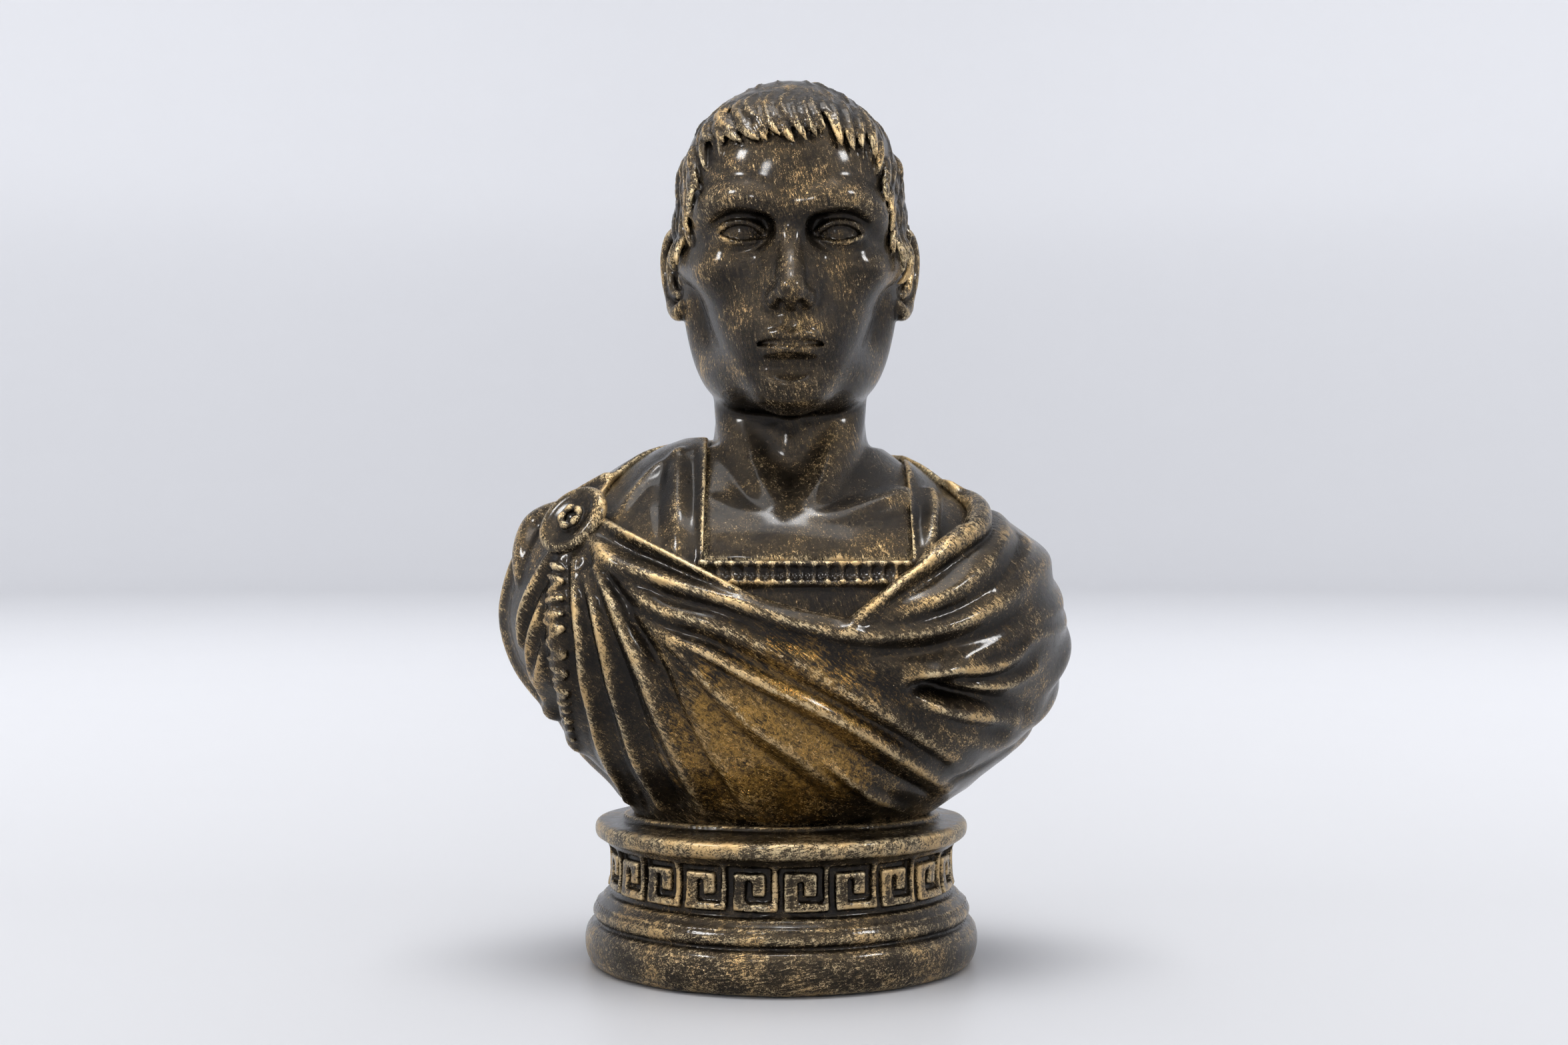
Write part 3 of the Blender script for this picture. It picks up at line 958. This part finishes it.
def frill(clay, seed=3):
    """The gathered edge that hangs under the brooch: uneven ruffles across a narrow strip."""
    random = np.random.default_rng(seed)
    path = fold_path(FRILL, on_body, CLOAK_BASE)
    step = np.r_[0, np.cumsum(np.linalg.norm(np.diff(path[:, :3], axis=0), axis=1))]
    at = 0.6
    while at < step[-1]:
        tilt, wide, high = random.uniform(-0.5, 0.9), random.uniform(0.9, 1.4), random.uniform(0.4, 0.85)
        centre, ahead = (np.array([np.interp(at + d, step, path[:, i]) for i in range(3)]) for d in (0, 0.5))
        ahead = (ahead - centre) / np.linalg.norm(ahead - centre)
        out = np.array((centre[0] / BODY_HALF[0] ** 2, centre[1] / BODY_HALF[1] ** 2, 0))
        out /= np.linalg.norm(out)
        across = np.cross(out, ahead)
        left = centre - across * wide + out * 0.5 + ahead * tilt
        right = centre + across * wide + out * 0.5 - ahead * tilt
        clay.rod([(*left, 0.3), (*(centre + out * high), 0.42), (*right, 0.3)], 0.2, step=0.5)
        at += random.uniform(0.95, 1.6)


def tuck(clay, points):
    """Adds a fold of cloth that stands clear of the body."""
    rows = []
    for x, z, back, radius in points:
        px, py, _ = on_body(x, z)
        rows.append((px, py + back, z, radius))
    clay.rod(rows, 0.9, step=0.6)


def sculpt_cloak(voxel):
    """The cloak: a shell round the tunic, its folds raised and sunk along their own lines."""
    clay, opening = drape(voxel)
    frill(clay)
    inner = soft_max(body_field(clay, TUNIC_INSET), clay.field + CLOAK_WALL, 0.3)
    clay.field = np.maximum(clay.field, SEAT_Z - clay.axes[2])
    clay.field = soft_max(clay.field, -opening, 0.7)
    clay.field = soft_max(clay.field, -block_field(clay, *NECK_OPENING, NECK_CORNER), 0.7)
    tuck(clay, LEFT_TUCK)
    tuck(clay, RIGHT_TUCK)
    clay.egg(on_body(*TUCK_HOLLOW), (1.0, 1.3, 0.7), 0.5, cut=True)
    clay.field = np.maximum(clay.field, -inner)
    return clay


def sculpt_tunic(voxel):
    """The tunic: solid under the cloak, pleated round its square neckline."""
    clay, opening = drape(voxel)
    covered = clay.field + CLOAK_WALL
    base = body_field(clay, TUNIC_INSET)
    clay.field = base.copy()
    for width, cusp, rows in TUNIC_FOLDS:
        clay.relief(fold_path(rows, on_body, TUNIC_INSET), width, under=base, cusp=cusp)
    for x in np.arange(*PLEATS):
        rows = ((x, PLEAT_TOP, 0.5), (x + 0.2 * math.sin(3 * x), PLEAT_FOOT, 0.5))
        clay.relief(fold_path(rows, on_body, TUNIC_INSET), 0.36, under=base)
    clay.field = np.maximum(clay.field, np.minimum(covered, opening))
    clay.field = np.maximum(clay.field, SEAT_Z - clay.axes[2])
    clay.field = soft_max(clay.field, -block_field(clay, *NECK_OPENING, NECK_CORNER), 0.4)
    return clay


# ---- brooch and socle ----------------------------------------------------------------------------

BROOCH_NORMAL = np.array((-0.42, -0.76, 0.50))
BROOCH_UP = (0.62, 0.0, 0.78)  # the way the shoulder slopes at the brooch
BROOCH_HALF = (4.0, 3.3)  # its half sizes up the slope of the shoulder and across it
BROOCH_BED = 0.5  # how far it sits into the cloth


def sculpt_brooch(voxel):
    """A domed oval cloak pin with a rolled edge below and a small chased ring in its middle."""
    low, high = (np.array(corner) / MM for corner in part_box("brooch"))
    n = BROOCH_NORMAL / np.linalg.norm(BROOCH_NORMAL)
    centre = (low + high) / 2 - n * BROOCH_BED
    clay = Clay(centre - 6, centre + 6, voxel)
    up = np.array(BROOCH_UP)
    up -= n * (up @ n)
    up /= np.linalg.norm(up)
    across = np.cross(up, n)
    turn = np.stack([up, across, n], axis=1)
    half_u, half_v = BROOCH_HALF

    def at(u, v, w):
        return centre + up * u + across * v + n * w

    clay.egg(at(0, 0, 0.1), (half_u, half_v, 1.35), 0, turn=turn)
    clay.egg(at(0, -0.1, 1.2), (half_u - 0.9, half_v - 0.9, 0.55), 0.5, cut=True, turn=turn)
    ring = np.radians(np.linspace(0, 360, 49))
    edge = [(*at((half_u - 0.35) * math.cos(a), (half_v - 0.35) * math.sin(a), 0.3),
             0.4 + 0.28 * max(0.0, math.cos(a - math.radians(60)))) for a in ring]
    chased = [(*at(0.1 + 1.15 * math.cos(a), 0.1 + 1.0 * math.sin(a), 0.95 + 0.1 * math.sin(5 * a)),
               0.3 + 0.07 * math.sin(5 * a)) for a in ring]
    for loop, soft in ((edge, 0.5), (chased, 0.25)):
        for p, q in zip(loop, loop[1:]):
            clay.cone(p[:3], q[:3], p[3], q[3], soft)
    clay.egg(at(0.1, 0.1, 0.95), (0.55, 0.5, 0.5), 0.2, cut=True, turn=turn)
    clay.egg(at(0, 0, -1.0), (half_u - 0.8, half_v - 0.6, 1.6), 0.5, turn=turn)
    return clay


# the turned profile: radius and height, from the seat's edge down to the foot
SOCLE_PROFILE = (
    (0.0, 16.1), (20.4, 16.1), (20.85, 15.95), (21.05, 15.6), (21.1, 15.1), (21.0, 14.55), (20.75, 14.25),
    (20.2, 14.05), (19.75, 13.6), (19.5, 12.8), (19.4, 11.8), (19.42, 10.6), (19.55, 9.4), (19.8, 8.4),
    (20.2, 7.6), (20.7, 7.1), (21.0, 6.95), (21.05, 6.75), (20.95, 6.6), (21.25, 6.4), (21.35, 6.0),
    (21.3, 5.6), (21.1, 5.3), (20.85, 5.15), (20.85, 4.9), (21.2, 4.8), (21.6, 4.65), (22.0, 4.1),
    (22.2, 3.2), (22.2, 2.2), (22.05, 1.3), (21.75, 0.6), (21.3, 0.2), (0.0, 0.2),
)
KEY_CELLS = 22  # repeats of the key pattern round the drum
KEY_BOTTOM, KEY_TOP = 8.3, 13.0
KEY_DEPTH, KEY_HALF = 0.75, 0.38  # how deep its strokes are cut, and half their width
# one cell's strokes, from end to end, in cell widths and heights
KEY = (((0.0, 0.0), (1.0, 0.0)), ((0.0, 0.0), (0.0, 1.0)), ((0.0, 1.0), (0.76, 1.0)),
       ((0.76, 1.0), (0.76, 0.34)), ((0.76, 0.34), (0.38, 0.34)), ((0.38, 0.34), (0.38, 0.68)))
DRUM_RADIUS = 19.8  # where the key pattern's cells are measured
RECESSES = ((19.9, 1.0), (4.6, 8.0), (1.7, 20.0))  # radius and top of the felt's, the nut's and the stud's
PAD_HALF = (17.9, 13.1)  # the oval seat raised on the lip, up to the body's foot
PAD_BASE = 14.0


def key_field(angle, z, radius):
    """Distance on the drum's surface to the strokes of a running key pattern."""
    cell = 2 * math.pi * radius / KEY_CELLS
    u = np.mod(angle / (2 * math.pi) * KEY_CELLS, 1.0) * cell
    v = z - KEY_BOTTOM
    near = np.full(np.broadcast(u, v).shape, 1e6, np.float32)
    for p, q in KEY:
        for shift in (-1, 0, 1):
            a = np.array(((p[0] + shift) * cell, p[1] * (KEY_TOP - KEY_BOTTOM)))
            b = np.array(((q[0] + shift) * cell, q[1] * (KEY_TOP - KEY_BOTTOM)))
            near = np.minimum(near, near_run((u, v), a, b)[0])
    return np.sqrt(near)


def sculpt_socle(voxel):
    """The turned base, with a key pattern cut into its drum and the recess for felt and nut."""
    clay = Clay((-23.2, -23.2, -0.6), (23.2, 23.2, 17.6), voxel)
    x, y, z = clay.everywhere()
    radius = np.sqrt(x * x + y * y)[:, :, 0]
    rings = np.arange(0, 34, voxel / 2)
    profile = outline_distance(rings[:, None], clay.axes[2][None, :], SOCLE_PROFILE)
    for k in range(len(clay.axes[2])):
        clay.field[:, :, k] = np.interp(radius, rings, profile[:, k])
    pad = np.sqrt((x / PAD_HALF[0]) ** 2 + (y / PAD_HALF[1]) ** 2)
    pad = np.maximum((pad - 1) * PAD_HALF[1], np.maximum(z - SEAT_Z, PAD_BASE - z)).astype(np.float32)
    clay.field = soft_min(clay.field, pad, 0.35)
    keys = key_field(np.arctan2(x, -y), z, DRUM_RADIUS) - KEY_HALF
    groove = soft_max(keys, -(clay.field + KEY_DEPTH), 0.1)
    clay.field = soft_max(clay.field, -groove.astype(np.float32), 0.16)
    unevenness = 0.05 * np.sin(0.5 * x + 1.3) * np.sin(0.45 * y + 0.5)
    unevenness = unevenness + 0.015 * np.sin(x - 0.8 * y + 2 * z)
    clay.field += unevenness.astype(np.float32)
    for wide, top in RECESSES:
        hole = np.maximum(np.sqrt(x * x + y * y) - wide, z - top).astype(np.float32)
        clay.field = np.maximum(clay.field, -hole)
    return clay


# ---- materials -----------------------------------------------------------------------------------

class Nodes:
    """A material's node tree, with short calls for the nodes used here; lengths are millimetres."""

    def __init__(self, name):
        self.material = bpy.data.materials.new(name)
        self.material.use_nodes = True
        self.tree = self.material.node_tree
        self.shader = self.tree.nodes["Principled BSDF"]
        place = self.tree.nodes.new("ShaderNodeTexCoord").outputs["Object"]
        self.place = self.scaled(place, 1 / MM)

    def scaled(self, vector, scale):
        """A vector times a number."""
        node = self.tree.nodes.new("ShaderNodeVectorMath")
        node.operation = "SCALE"
        node.inputs["Scale"].default_value = scale
        self.tree.links.new(vector, node.inputs[0])
        return node.outputs[0]

    def stretch(self, scale, turn=(0, 0, 0)):
        """The place in millimetres on axes turned by these degrees, each drawn out by its scale."""
        node = self.tree.nodes.new("ShaderNodeMapping")
        node.vector_type = "TEXTURE"
        node.inputs["Rotation"].default_value = [math.radians(a) for a in turn]
        node.inputs["Scale"].default_value = scale
        self.tree.links.new(self.place, node.inputs["Vector"])
        return node.outputs[0]

    def noise(self, size, detail=4.0, rough=0.55, place=None, twist=0.0):
        """Noise from 0 to 1 whose features are about size millimetres."""
        node = self.tree.nodes.new("ShaderNodeTexNoise")
        node.inputs["Scale"].default_value = 1.0 / size
        node.inputs["Detail"].default_value = detail
        node.inputs["Roughness"].default_value = rough
        node.inputs["Distortion"].default_value = twist
        self.tree.links.new(self.place if place is None else place, node.inputs["Vector"])
        return node.outputs[0]

    def attribute(self, name):
        """A number stored on the mesh's points."""
        node = self.tree.nodes.new("ShaderNodeAttribute")
        node.attribute_name = name
        return node.outputs["Fac"]

    def calc(self, operation, a, b=0.0, c=0.0):
        """A sum of up to three numbers or sockets."""
        node = self.tree.nodes.new("ShaderNodeMath")
        node.operation = operation
        for socket, value in zip(node.inputs, (a, b, c)):
            self.feed(socket, value)
        return node.outputs[0]

    def feed(self, socket, value):
        """Sets a socket to a number or colour, or links another node's output to it."""
        if isinstance(value, bpy.types.NodeSocket):
            self.tree.links.new(value, socket)
        elif hasattr(value, "__len__"):
            socket.default_value = (*value, 1.0)
        else:
            socket.default_value = value

    def vary(self, value, noise, strength):
        """A value moved up and down by a noise that runs from 0 to 1."""
        return self.calc("MULTIPLY_ADD", self.calc("SUBTRACT", noise, 0.5), strength, value)

    def ramp(self, value, low, high, to_low=0.0, to_high=1.0):
        """A smooth step from low to high."""
        node = self.tree.nodes.new("ShaderNodeMapRange")
        node.interpolation_type = "SMOOTHSTEP"
        for name, number in (("From Min", low), ("From Max", high), ("To Min", to_low), ("To Max", to_high)):
            node.inputs[name].default_value = number
        self.tree.links.new(value, node.inputs["Value"])
        return node.outputs["Result"]

    def blend(self, part, a, b):
        """Colour a where part is 0 and b where it is 1."""
        node = self.tree.nodes.new("ShaderNodeMix")
        node.data_type = "RGBA"
        self.feed(node.inputs["Factor"], part)
        self.feed(node.inputs["A"], a)
        self.feed(node.inputs["B"], b)
        return node.outputs["Result"]

    def bump(self, height, distance, under=None):
        """A bump of the given height range, laid over another if given."""
        node = self.tree.nodes.new("ShaderNodeBump")
        node.inputs["Distance"].default_value = distance * MM
        self.tree.links.new(height, node.inputs["Height"])
        if under is not None:
            self.tree.links.new(under, node.inputs["Normal"])
        return node.outputs[0]

    def set(self, **values):
        """Sets or links the shader's inputs, named with underscores, and gives back the material."""
        for name, value in values.items():
            self.feed(self.shader.inputs[name.replace("_", " ")], value)
        return self.material


RESIN_DARK = (0.0060, 0.0042, 0.0026)
RESIN_BROWN = (0.058, 0.039, 0.0185)
OCHRE = (0.44, 0.245, 0.050)
GOLD = (0.70, 0.56, 0.34)
GOLD_RED = (0.60, 0.41, 0.19)
FLECKS, STROKES, GRAINS, PATCHES = 2.9, 3.6, 1.5, 2.0  # how far each noise moves the gold's edge
BARE, COVERED = 0.56, 1.0  # where the gold begins and where it is full
PATCH_CENTRE = (-1.0, -20.0, 25.0)  # the ochre stain's middle, in millimetres


def bronze(name, gold=0.0, wear=1.0, lean=-15.0, ochre=0.0):
    """Bronze-filled resin stained near black, its high places dry-brushed with pale gold.

    More gold brushes further down from the high places, and less wear spreads it more evenly. The
    brush strokes lean by this many degrees, and ochre stains the middle of the front.
    """
    n = Nodes(name)
    edge, form = n.attribute("edge_wear"), n.attribute("form_wear")
    grain, patch = n.noise(0.13, 2, 0.7), n.noise(5.0, 4, 0.6)
    fleck = n.noise(0.55, 7, 0.88, twist=0.8)
    strokes = n.noise(0.2, 6, 0.85, n.stretch((1.0, 1.0, 9.0), (0, lean, 0)), twist=0.5)
    raised = n.calc("MULTIPLY_ADD", n.ramp(edge, -0.02, 0.12), 0.55, n.ramp(form, -0.2, 0.7))
    total = n.calc("MULTIPLY_ADD", raised, wear, 0.35 * (1 - wear) + gold)
    for marks, strength in ((fleck, FLECKS), (strokes, STROKES), (grain, GRAINS), (patch, PATCHES)):
        total = n.vary(total, marks, strength)
    brushed = n.ramp(total, BARE, COVERED)
    stained = n.calc("MULTIPLY", n.ramp(total, -0.2, 0.8), n.ramp(form, -0.75, 0.15, 0.15, 1.0))
    base = n.blend(stained, RESIN_DARK, RESIN_BROWN)
    if ochre:
        base = n.blend(ochre_stain(n, strokes, fleck, form, ochre), base, OCHRE)
    metal = n.blend(n.ramp(patch, 0.4, 0.62), GOLD, GOLD_RED)
    colour = n.blend(n.calc("MULTIPLY", brushed, 0.8), base, metal)
    rough = n.ramp(n.noise(1.1, 6, 0.7), 0.3, 0.75, 0.13, 0.31)
    rough = n.calc("MULTIPLY_ADD", brushed, 0.1, rough)
    return n.set(Base_Color=colour, Metallic=n.ramp(brushed, 0.0, 1.0, 0.84, 0.94), Roughness=rough,
                 Normal=cast_skin(n, grain, strokes, brushed), Coat_Weight=0.22, Coat_Roughness=0.12)


def ochre_stain(n, strokes, fleck, form, strength):
    """How much ochre shows: a soft patch over the front, broken by the brush marks."""
    stain = n.vary(front_patch(n), n.noise(1.8, 6, 0.75, twist=0.8), 2.0)
    stain = n.vary(stain, strokes, 3.4)
    stain = n.calc("MULTIPLY", n.ramp(stain, 0.35, 0.9), n.ramp(fleck, 0.4, 0.58, 0.1, 1.0))
    return n.calc("MULTIPLY", stain, n.ramp(form, -0.5, 0.1, 0.1, strength))


def front_patch(n):
    """A soft round mask over the broad folds in the middle of the front."""
    node = n.tree.nodes.new("ShaderNodeVectorMath")
    node.operation = "DISTANCE"
    n.tree.links.new(n.place, node.inputs[0])
    node.inputs[1].default_value = PATCH_CENTRE
    return n.ramp(node.outputs["Value"], 6.0, 18.0, 0.85, 0.0)


def cast_skin(n, grain, strokes, brushed):
    """The cast surface's coarse and fine unevenness, with the gold standing a little proud of it."""
    coarse = n.bump(n.noise(0.9, 7, 0.75), 0.1)
    fine = n.bump(n.calc("ADD", grain, n.calc("MULTIPLY", strokes, 0.8)), 0.034, coarse)
    return n.bump(brushed, 0.025, fine)


def steel(name):
    """Zinc-plated steel, faintly mottled, with fine marks from turning."""
    n = Nodes(name)
    bloom = n.ramp(n.noise(1.6, 5, 0.6), 0.35, 0.7)
    marks = n.noise(0.2, 3, 0.6, n.stretch((1.6, 1.6, 0.2)))
    colour = n.blend(bloom, (0.50, 0.51, 0.53), (0.62, 0.62, 0.60))
    return n.set(Base_Color=colour, Metallic=1.0, Roughness=n.ramp(bloom, 0.0, 1.0, 0.26, 0.42),
                 Normal=n.bump(marks, 0.02))


def felt(name):
    """Pressed wool felt: matted short fibres, darker where they part."""
    n = Nodes(name)
    fibres = n.noise(0.35, 6, 0.8, n.stretch((1.0, 3.0, 1.0), (0, 0, 35)), twist=1.5)
    crossing = n.noise(0.35, 6, 0.8, n.stretch((3.0, 1.0, 1.0), (0, 0, 10)), twist=1.5)
    mat = n.calc("MAXIMUM", fibres, crossing)
    colour = n.blend(n.ramp(mat, 0.4, 0.75), (0.020, 0.030, 0.022), (0.070, 0.095, 0.072))
    return n.set(Base_Color=colour, Roughness=0.95, Sheen_Weight=0.5, Sheen_Roughness=0.5,
                 Normal=n.bump(mat, 0.12))


def paper(name, colour):
    """Matt studio paper with a trace of mottling."""
    n = Nodes(name)
    tone = n.ramp(n.noise(60.0, 3), 0.3, 0.7, 0.0, 0.12)
    return n.set(Base_Color=n.blend(tone, colour, [0.96 * c for c in colour]), Roughness=0.42,
                 Specular_IOR_Level=0.35)


# ---- studio --------------------------------------------------------------------------------------
# Places and sizes here are in bust heights.

CAMERA_BACK, CAMERA_UP = 2.48, 0.496
CAMERA_ASIDE = 0.3 * MM
SWEEP_REACH, SWEEP_BEND, SWEEP_TOP = 14, 4, 9  # the floor's radius, its curve's radius, the wall's top
SWEEP_TURNS = 96
PAPER = (0.805, 0.81, 0.83)
# name, place, size, watts, and whether it spares the sweep; all aim at the middle of the bust
LIGHTS = (
    ("left_softbox", (-2.2, -1.6, 2.2), 0.5, 0.75, True),
    ("right_softbox", (2.4, -1.4, 2.1), 0.5, 0.64, True),
    ("top_softbox", (0.1, -0.5, 3.0), 0.5, 0.4, True),
    ("overhead_panel", (0, -0.2, 4.0), 2.6, 1.25, False),
    ("front_softbox", (-0.9, -3.4, 1.6), 0.35, 0.3, True),
)
WORLD_COLOUR, WORLD_STRENGTH = (0.94, 0.95, 1.0), 0.43
WALL_LIGHT_AT, WALL_LIGHT_TO = (2, 8.0), (18, 5.0)  # how far out and up the wall lights stand and aim
WALL_LIGHT_SIZE, WALL_LIGHT_WATTS, WALL_LIGHT_COLOUR = 3.0, 8.5, (0.965, 0.975, 1.0)


def add_camera():
    """Level with the chest, straight in front, far enough back to take in the whole bust."""
    low, high = CAD_BOX
    height = high[2] - low[2]
    data = bpy.data.cameras.new("camera")
    data.lens, data.sensor_width = 50.0, 36.0
    data.clip_start, data.clip_end = 0.01, 20.0
    camera = bpy.data.objects.new("camera", data)
    camera.location = (CAMERA_ASIDE, -CAMERA_BACK * height, low[2] + CAMERA_UP * height)
    camera.rotation_euler = (math.radians(90), 0, 0)
    bpy.context.scene.collection.objects.link(camera)
    bpy.context.scene.camera = camera


def add_light(name, at, towards, size, watts, colour=(1, 1, 1), spared=None):
    """A square softbox, placed from the middle of the bust, that leaves a spared collection unlit."""
    low, high = CAD_BOX
    height = high[2] - low[2]
    middle = Vector((0, 0, low[2] + height / 2))
    data = bpy.data.lights.new(name, "AREA")
    data.shape, data.size, data.energy, data.color = "SQUARE", size * height, watts, colour
    light = bpy.data.objects.new(name, data)
    light.location = middle + Vector(at) * height
    aim = Vector(towards) * height - Vector(at) * height
    light.rotation_euler = aim.to_track_quat("-Z", "Y").to_euler()
    light.light_linking.receiver_collection = spared
    bpy.context.scene.collection.objects.link(light)


def turned(profile, foot):
    """The points and faces of a profile of radii and heights, turned round the upright axis."""
    verts, faces = [], []
    for r, z in profile:
        for k in range(SWEEP_TURNS):
            a = 2 * math.pi * k / SWEEP_TURNS
            verts.append((r * math.cos(a), r * math.sin(a), foot + z))
    for ring in range(len(profile) - 1):
        for k in range(SWEEP_TURNS):
            a, b = ring * SWEEP_TURNS + k, ring * SWEEP_TURNS + (k + 1) % SWEEP_TURNS
            faces.append((a, b, b + SWEEP_TURNS, a + SWEEP_TURNS))
    return verts, faces


def add_sweep():
    """A pale floor that curves up into a backdrop all round, and its collection for add_light."""
    low, high = CAD_BOX
    height = high[2] - low[2]
    reach, bend = SWEEP_REACH * height, SWEEP_BEND * height
    profile = [(0.0, 0.0), (0.2 * reach, 0.0), (0.6 * reach, 0.0), (reach, 0.0)]
    profile += [(reach + bend * math.sin(a), bend * (1 - math.cos(a)))
                for a in np.radians(np.arange(7.5, 90.1, 7.5))]
    profile.append((reach + bend, SWEEP_TOP * height))
    verts, faces = turned(profile, low[2])
    mesh = bpy.data.meshes.new("sweep")
    mesh.from_pydata(verts, [], faces)
    mesh.polygons.foreach_set("use_smooth", [True] * len(faces))
    sweep = bpy.data.objects.new("sweep", mesh)
    bpy.context.scene.collection.objects.link(sweep)
    sweep.data.materials.append(paper("studio_paper", PAPER))
    spared = bpy.data.collections.new("not_lit_by_softboxes")
    spared.objects.link(sweep)
    spared.collection_objects[0].light_linking.link_state = "EXCLUDE"
    return spared


def add_wall_lights():
    """Four more panels overhead that wash the backdrop on every side."""
    out_at, up_at = WALL_LIGHT_AT
    out_to, up_to = WALL_LIGHT_TO
    for side in range(4):
        x, y = round(math.sin(side * math.pi / 2)), round(math.cos(side * math.pi / 2))
        add_light(f"wall_light_{side}", (out_at * x, out_at * y, up_at), (out_to * x, out_to * y, up_to),
                  WALL_LIGHT_SIZE, WALL_LIGHT_WATTS, WALL_LIGHT_COLOUR)


def add_world():
    """Even light from all round."""
    world = bpy.data.worlds.new("studio")
    bpy.context.scene.world = world
    world.use_nodes = True
    background = world.node_tree.nodes["Background"]
    background.inputs["Color"].default_value = (*WORLD_COLOUR, 1)
    background.inputs["Strength"].default_value = WORLD_STRENGTH


# ---- the whole bust ------------------------------------------------------------------------------

def add_casting(name, node, clay, material):
    """Meshes a sculpted block as the visible form of one CAD node."""
    points, quads = clay.mesh()
    obj = to_object(name, points + clay.origin, quads, clay.voxel)
    obj.data.materials.append(material)
    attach(obj, "root")
    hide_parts(node)
    return obj


def calm_wear(obj, centre, radii, keep):
    """Scales the relief attributes down to keep in the middle of an ellipsoid, in millimetres."""
    count = len(obj.data.vertices)
    points = np.empty(count * 3, np.float32)
    obj.data.vertices.foreach_get("co", points)
    reach = np.linalg.norm((points.reshape(-1, 3) / MM - centre) / radii, axis=1)
    factor = keep + (1 - keep) * np.clip(reach * 2 - 1, 0, 1)
    for label in ("edge_wear", "form_wear"):
        values = np.empty(count, np.float32)
        obj.data.attributes[label].data.foreach_get("value", values)
        obj.data.attributes[label].data.foreach_set("value", (values * factor).astype(np.float32))


def finish_node(node, material):
    """Gives a CAD node that stays visible its own material."""
    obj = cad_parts[node]
    obj.data.materials.clear()
    obj.data.materials.append(material)


# each casting's name, CAD node, sculptor and voxel, then its bronze's name, gold, wear, lean and ochre
CASTINGS = (
    ("head_casting", "head_and_neck", sculpt_head, 0.23, ("bronze_head", -0.03, 0.7)),
    ("tunic_casting", "tunic_torso", sculpt_tunic, 0.27, ("bronze_tunic", -0.08, 1.0)),
    ("cloak_casting", "cloak", sculpt_cloak, 0.32, ("bronze_cloak", 0.02, 0.9, -52.0, 0.95)),
    ("brooch_casting", "brooch", sculpt_brooch, 0.1, ("bronze_brooch", -0.15, 0.9)),
    ("socle_casting", "socle", sculpt_socle, 0.26, ("bronze_socle", 0.1, 0.85, 80.0)),
)
# where the face and then the mouth are brushed less: centre, radii, and the share of relief kept
CALMED = (
    ((1.0, -16.0, 75.0), (11.0, 12.0, 15.5), 0.35),
    ((1.0, -16.5, 69.5), (7.5, 7.0, 6.0), 0.0),
)
FIXINGS = ("mounting_stud", "stud_washer", "stud_nut", "locating_pin", "neck_dowel")

bpy.context.scene.view_settings.view_transform = "Standard"
coarse = 1.0
for name, node, sculpt, voxel, finish in CASTINGS:
    casting = add_casting(name, node, sculpt(voxel * coarse), bronze(*finish))
    if node == "head_and_neck":
        for centre, radii, keep in CALMED:
            calm_wear(casting, centre, radii, keep)
plated = steel("plated_steel")
for fixing in FIXINGS:
    finish_node(fixing, plated)
finish_node("felt_pad", felt("wool_felt"))

add_camera()
paper_only = add_sweep()
add_world()
for name, at, size, watts, spares in LIGHTS:
    add_light(name, at, (0, 0, 0), size, watts, spared=paper_only if spares else None)
add_wall_lights()
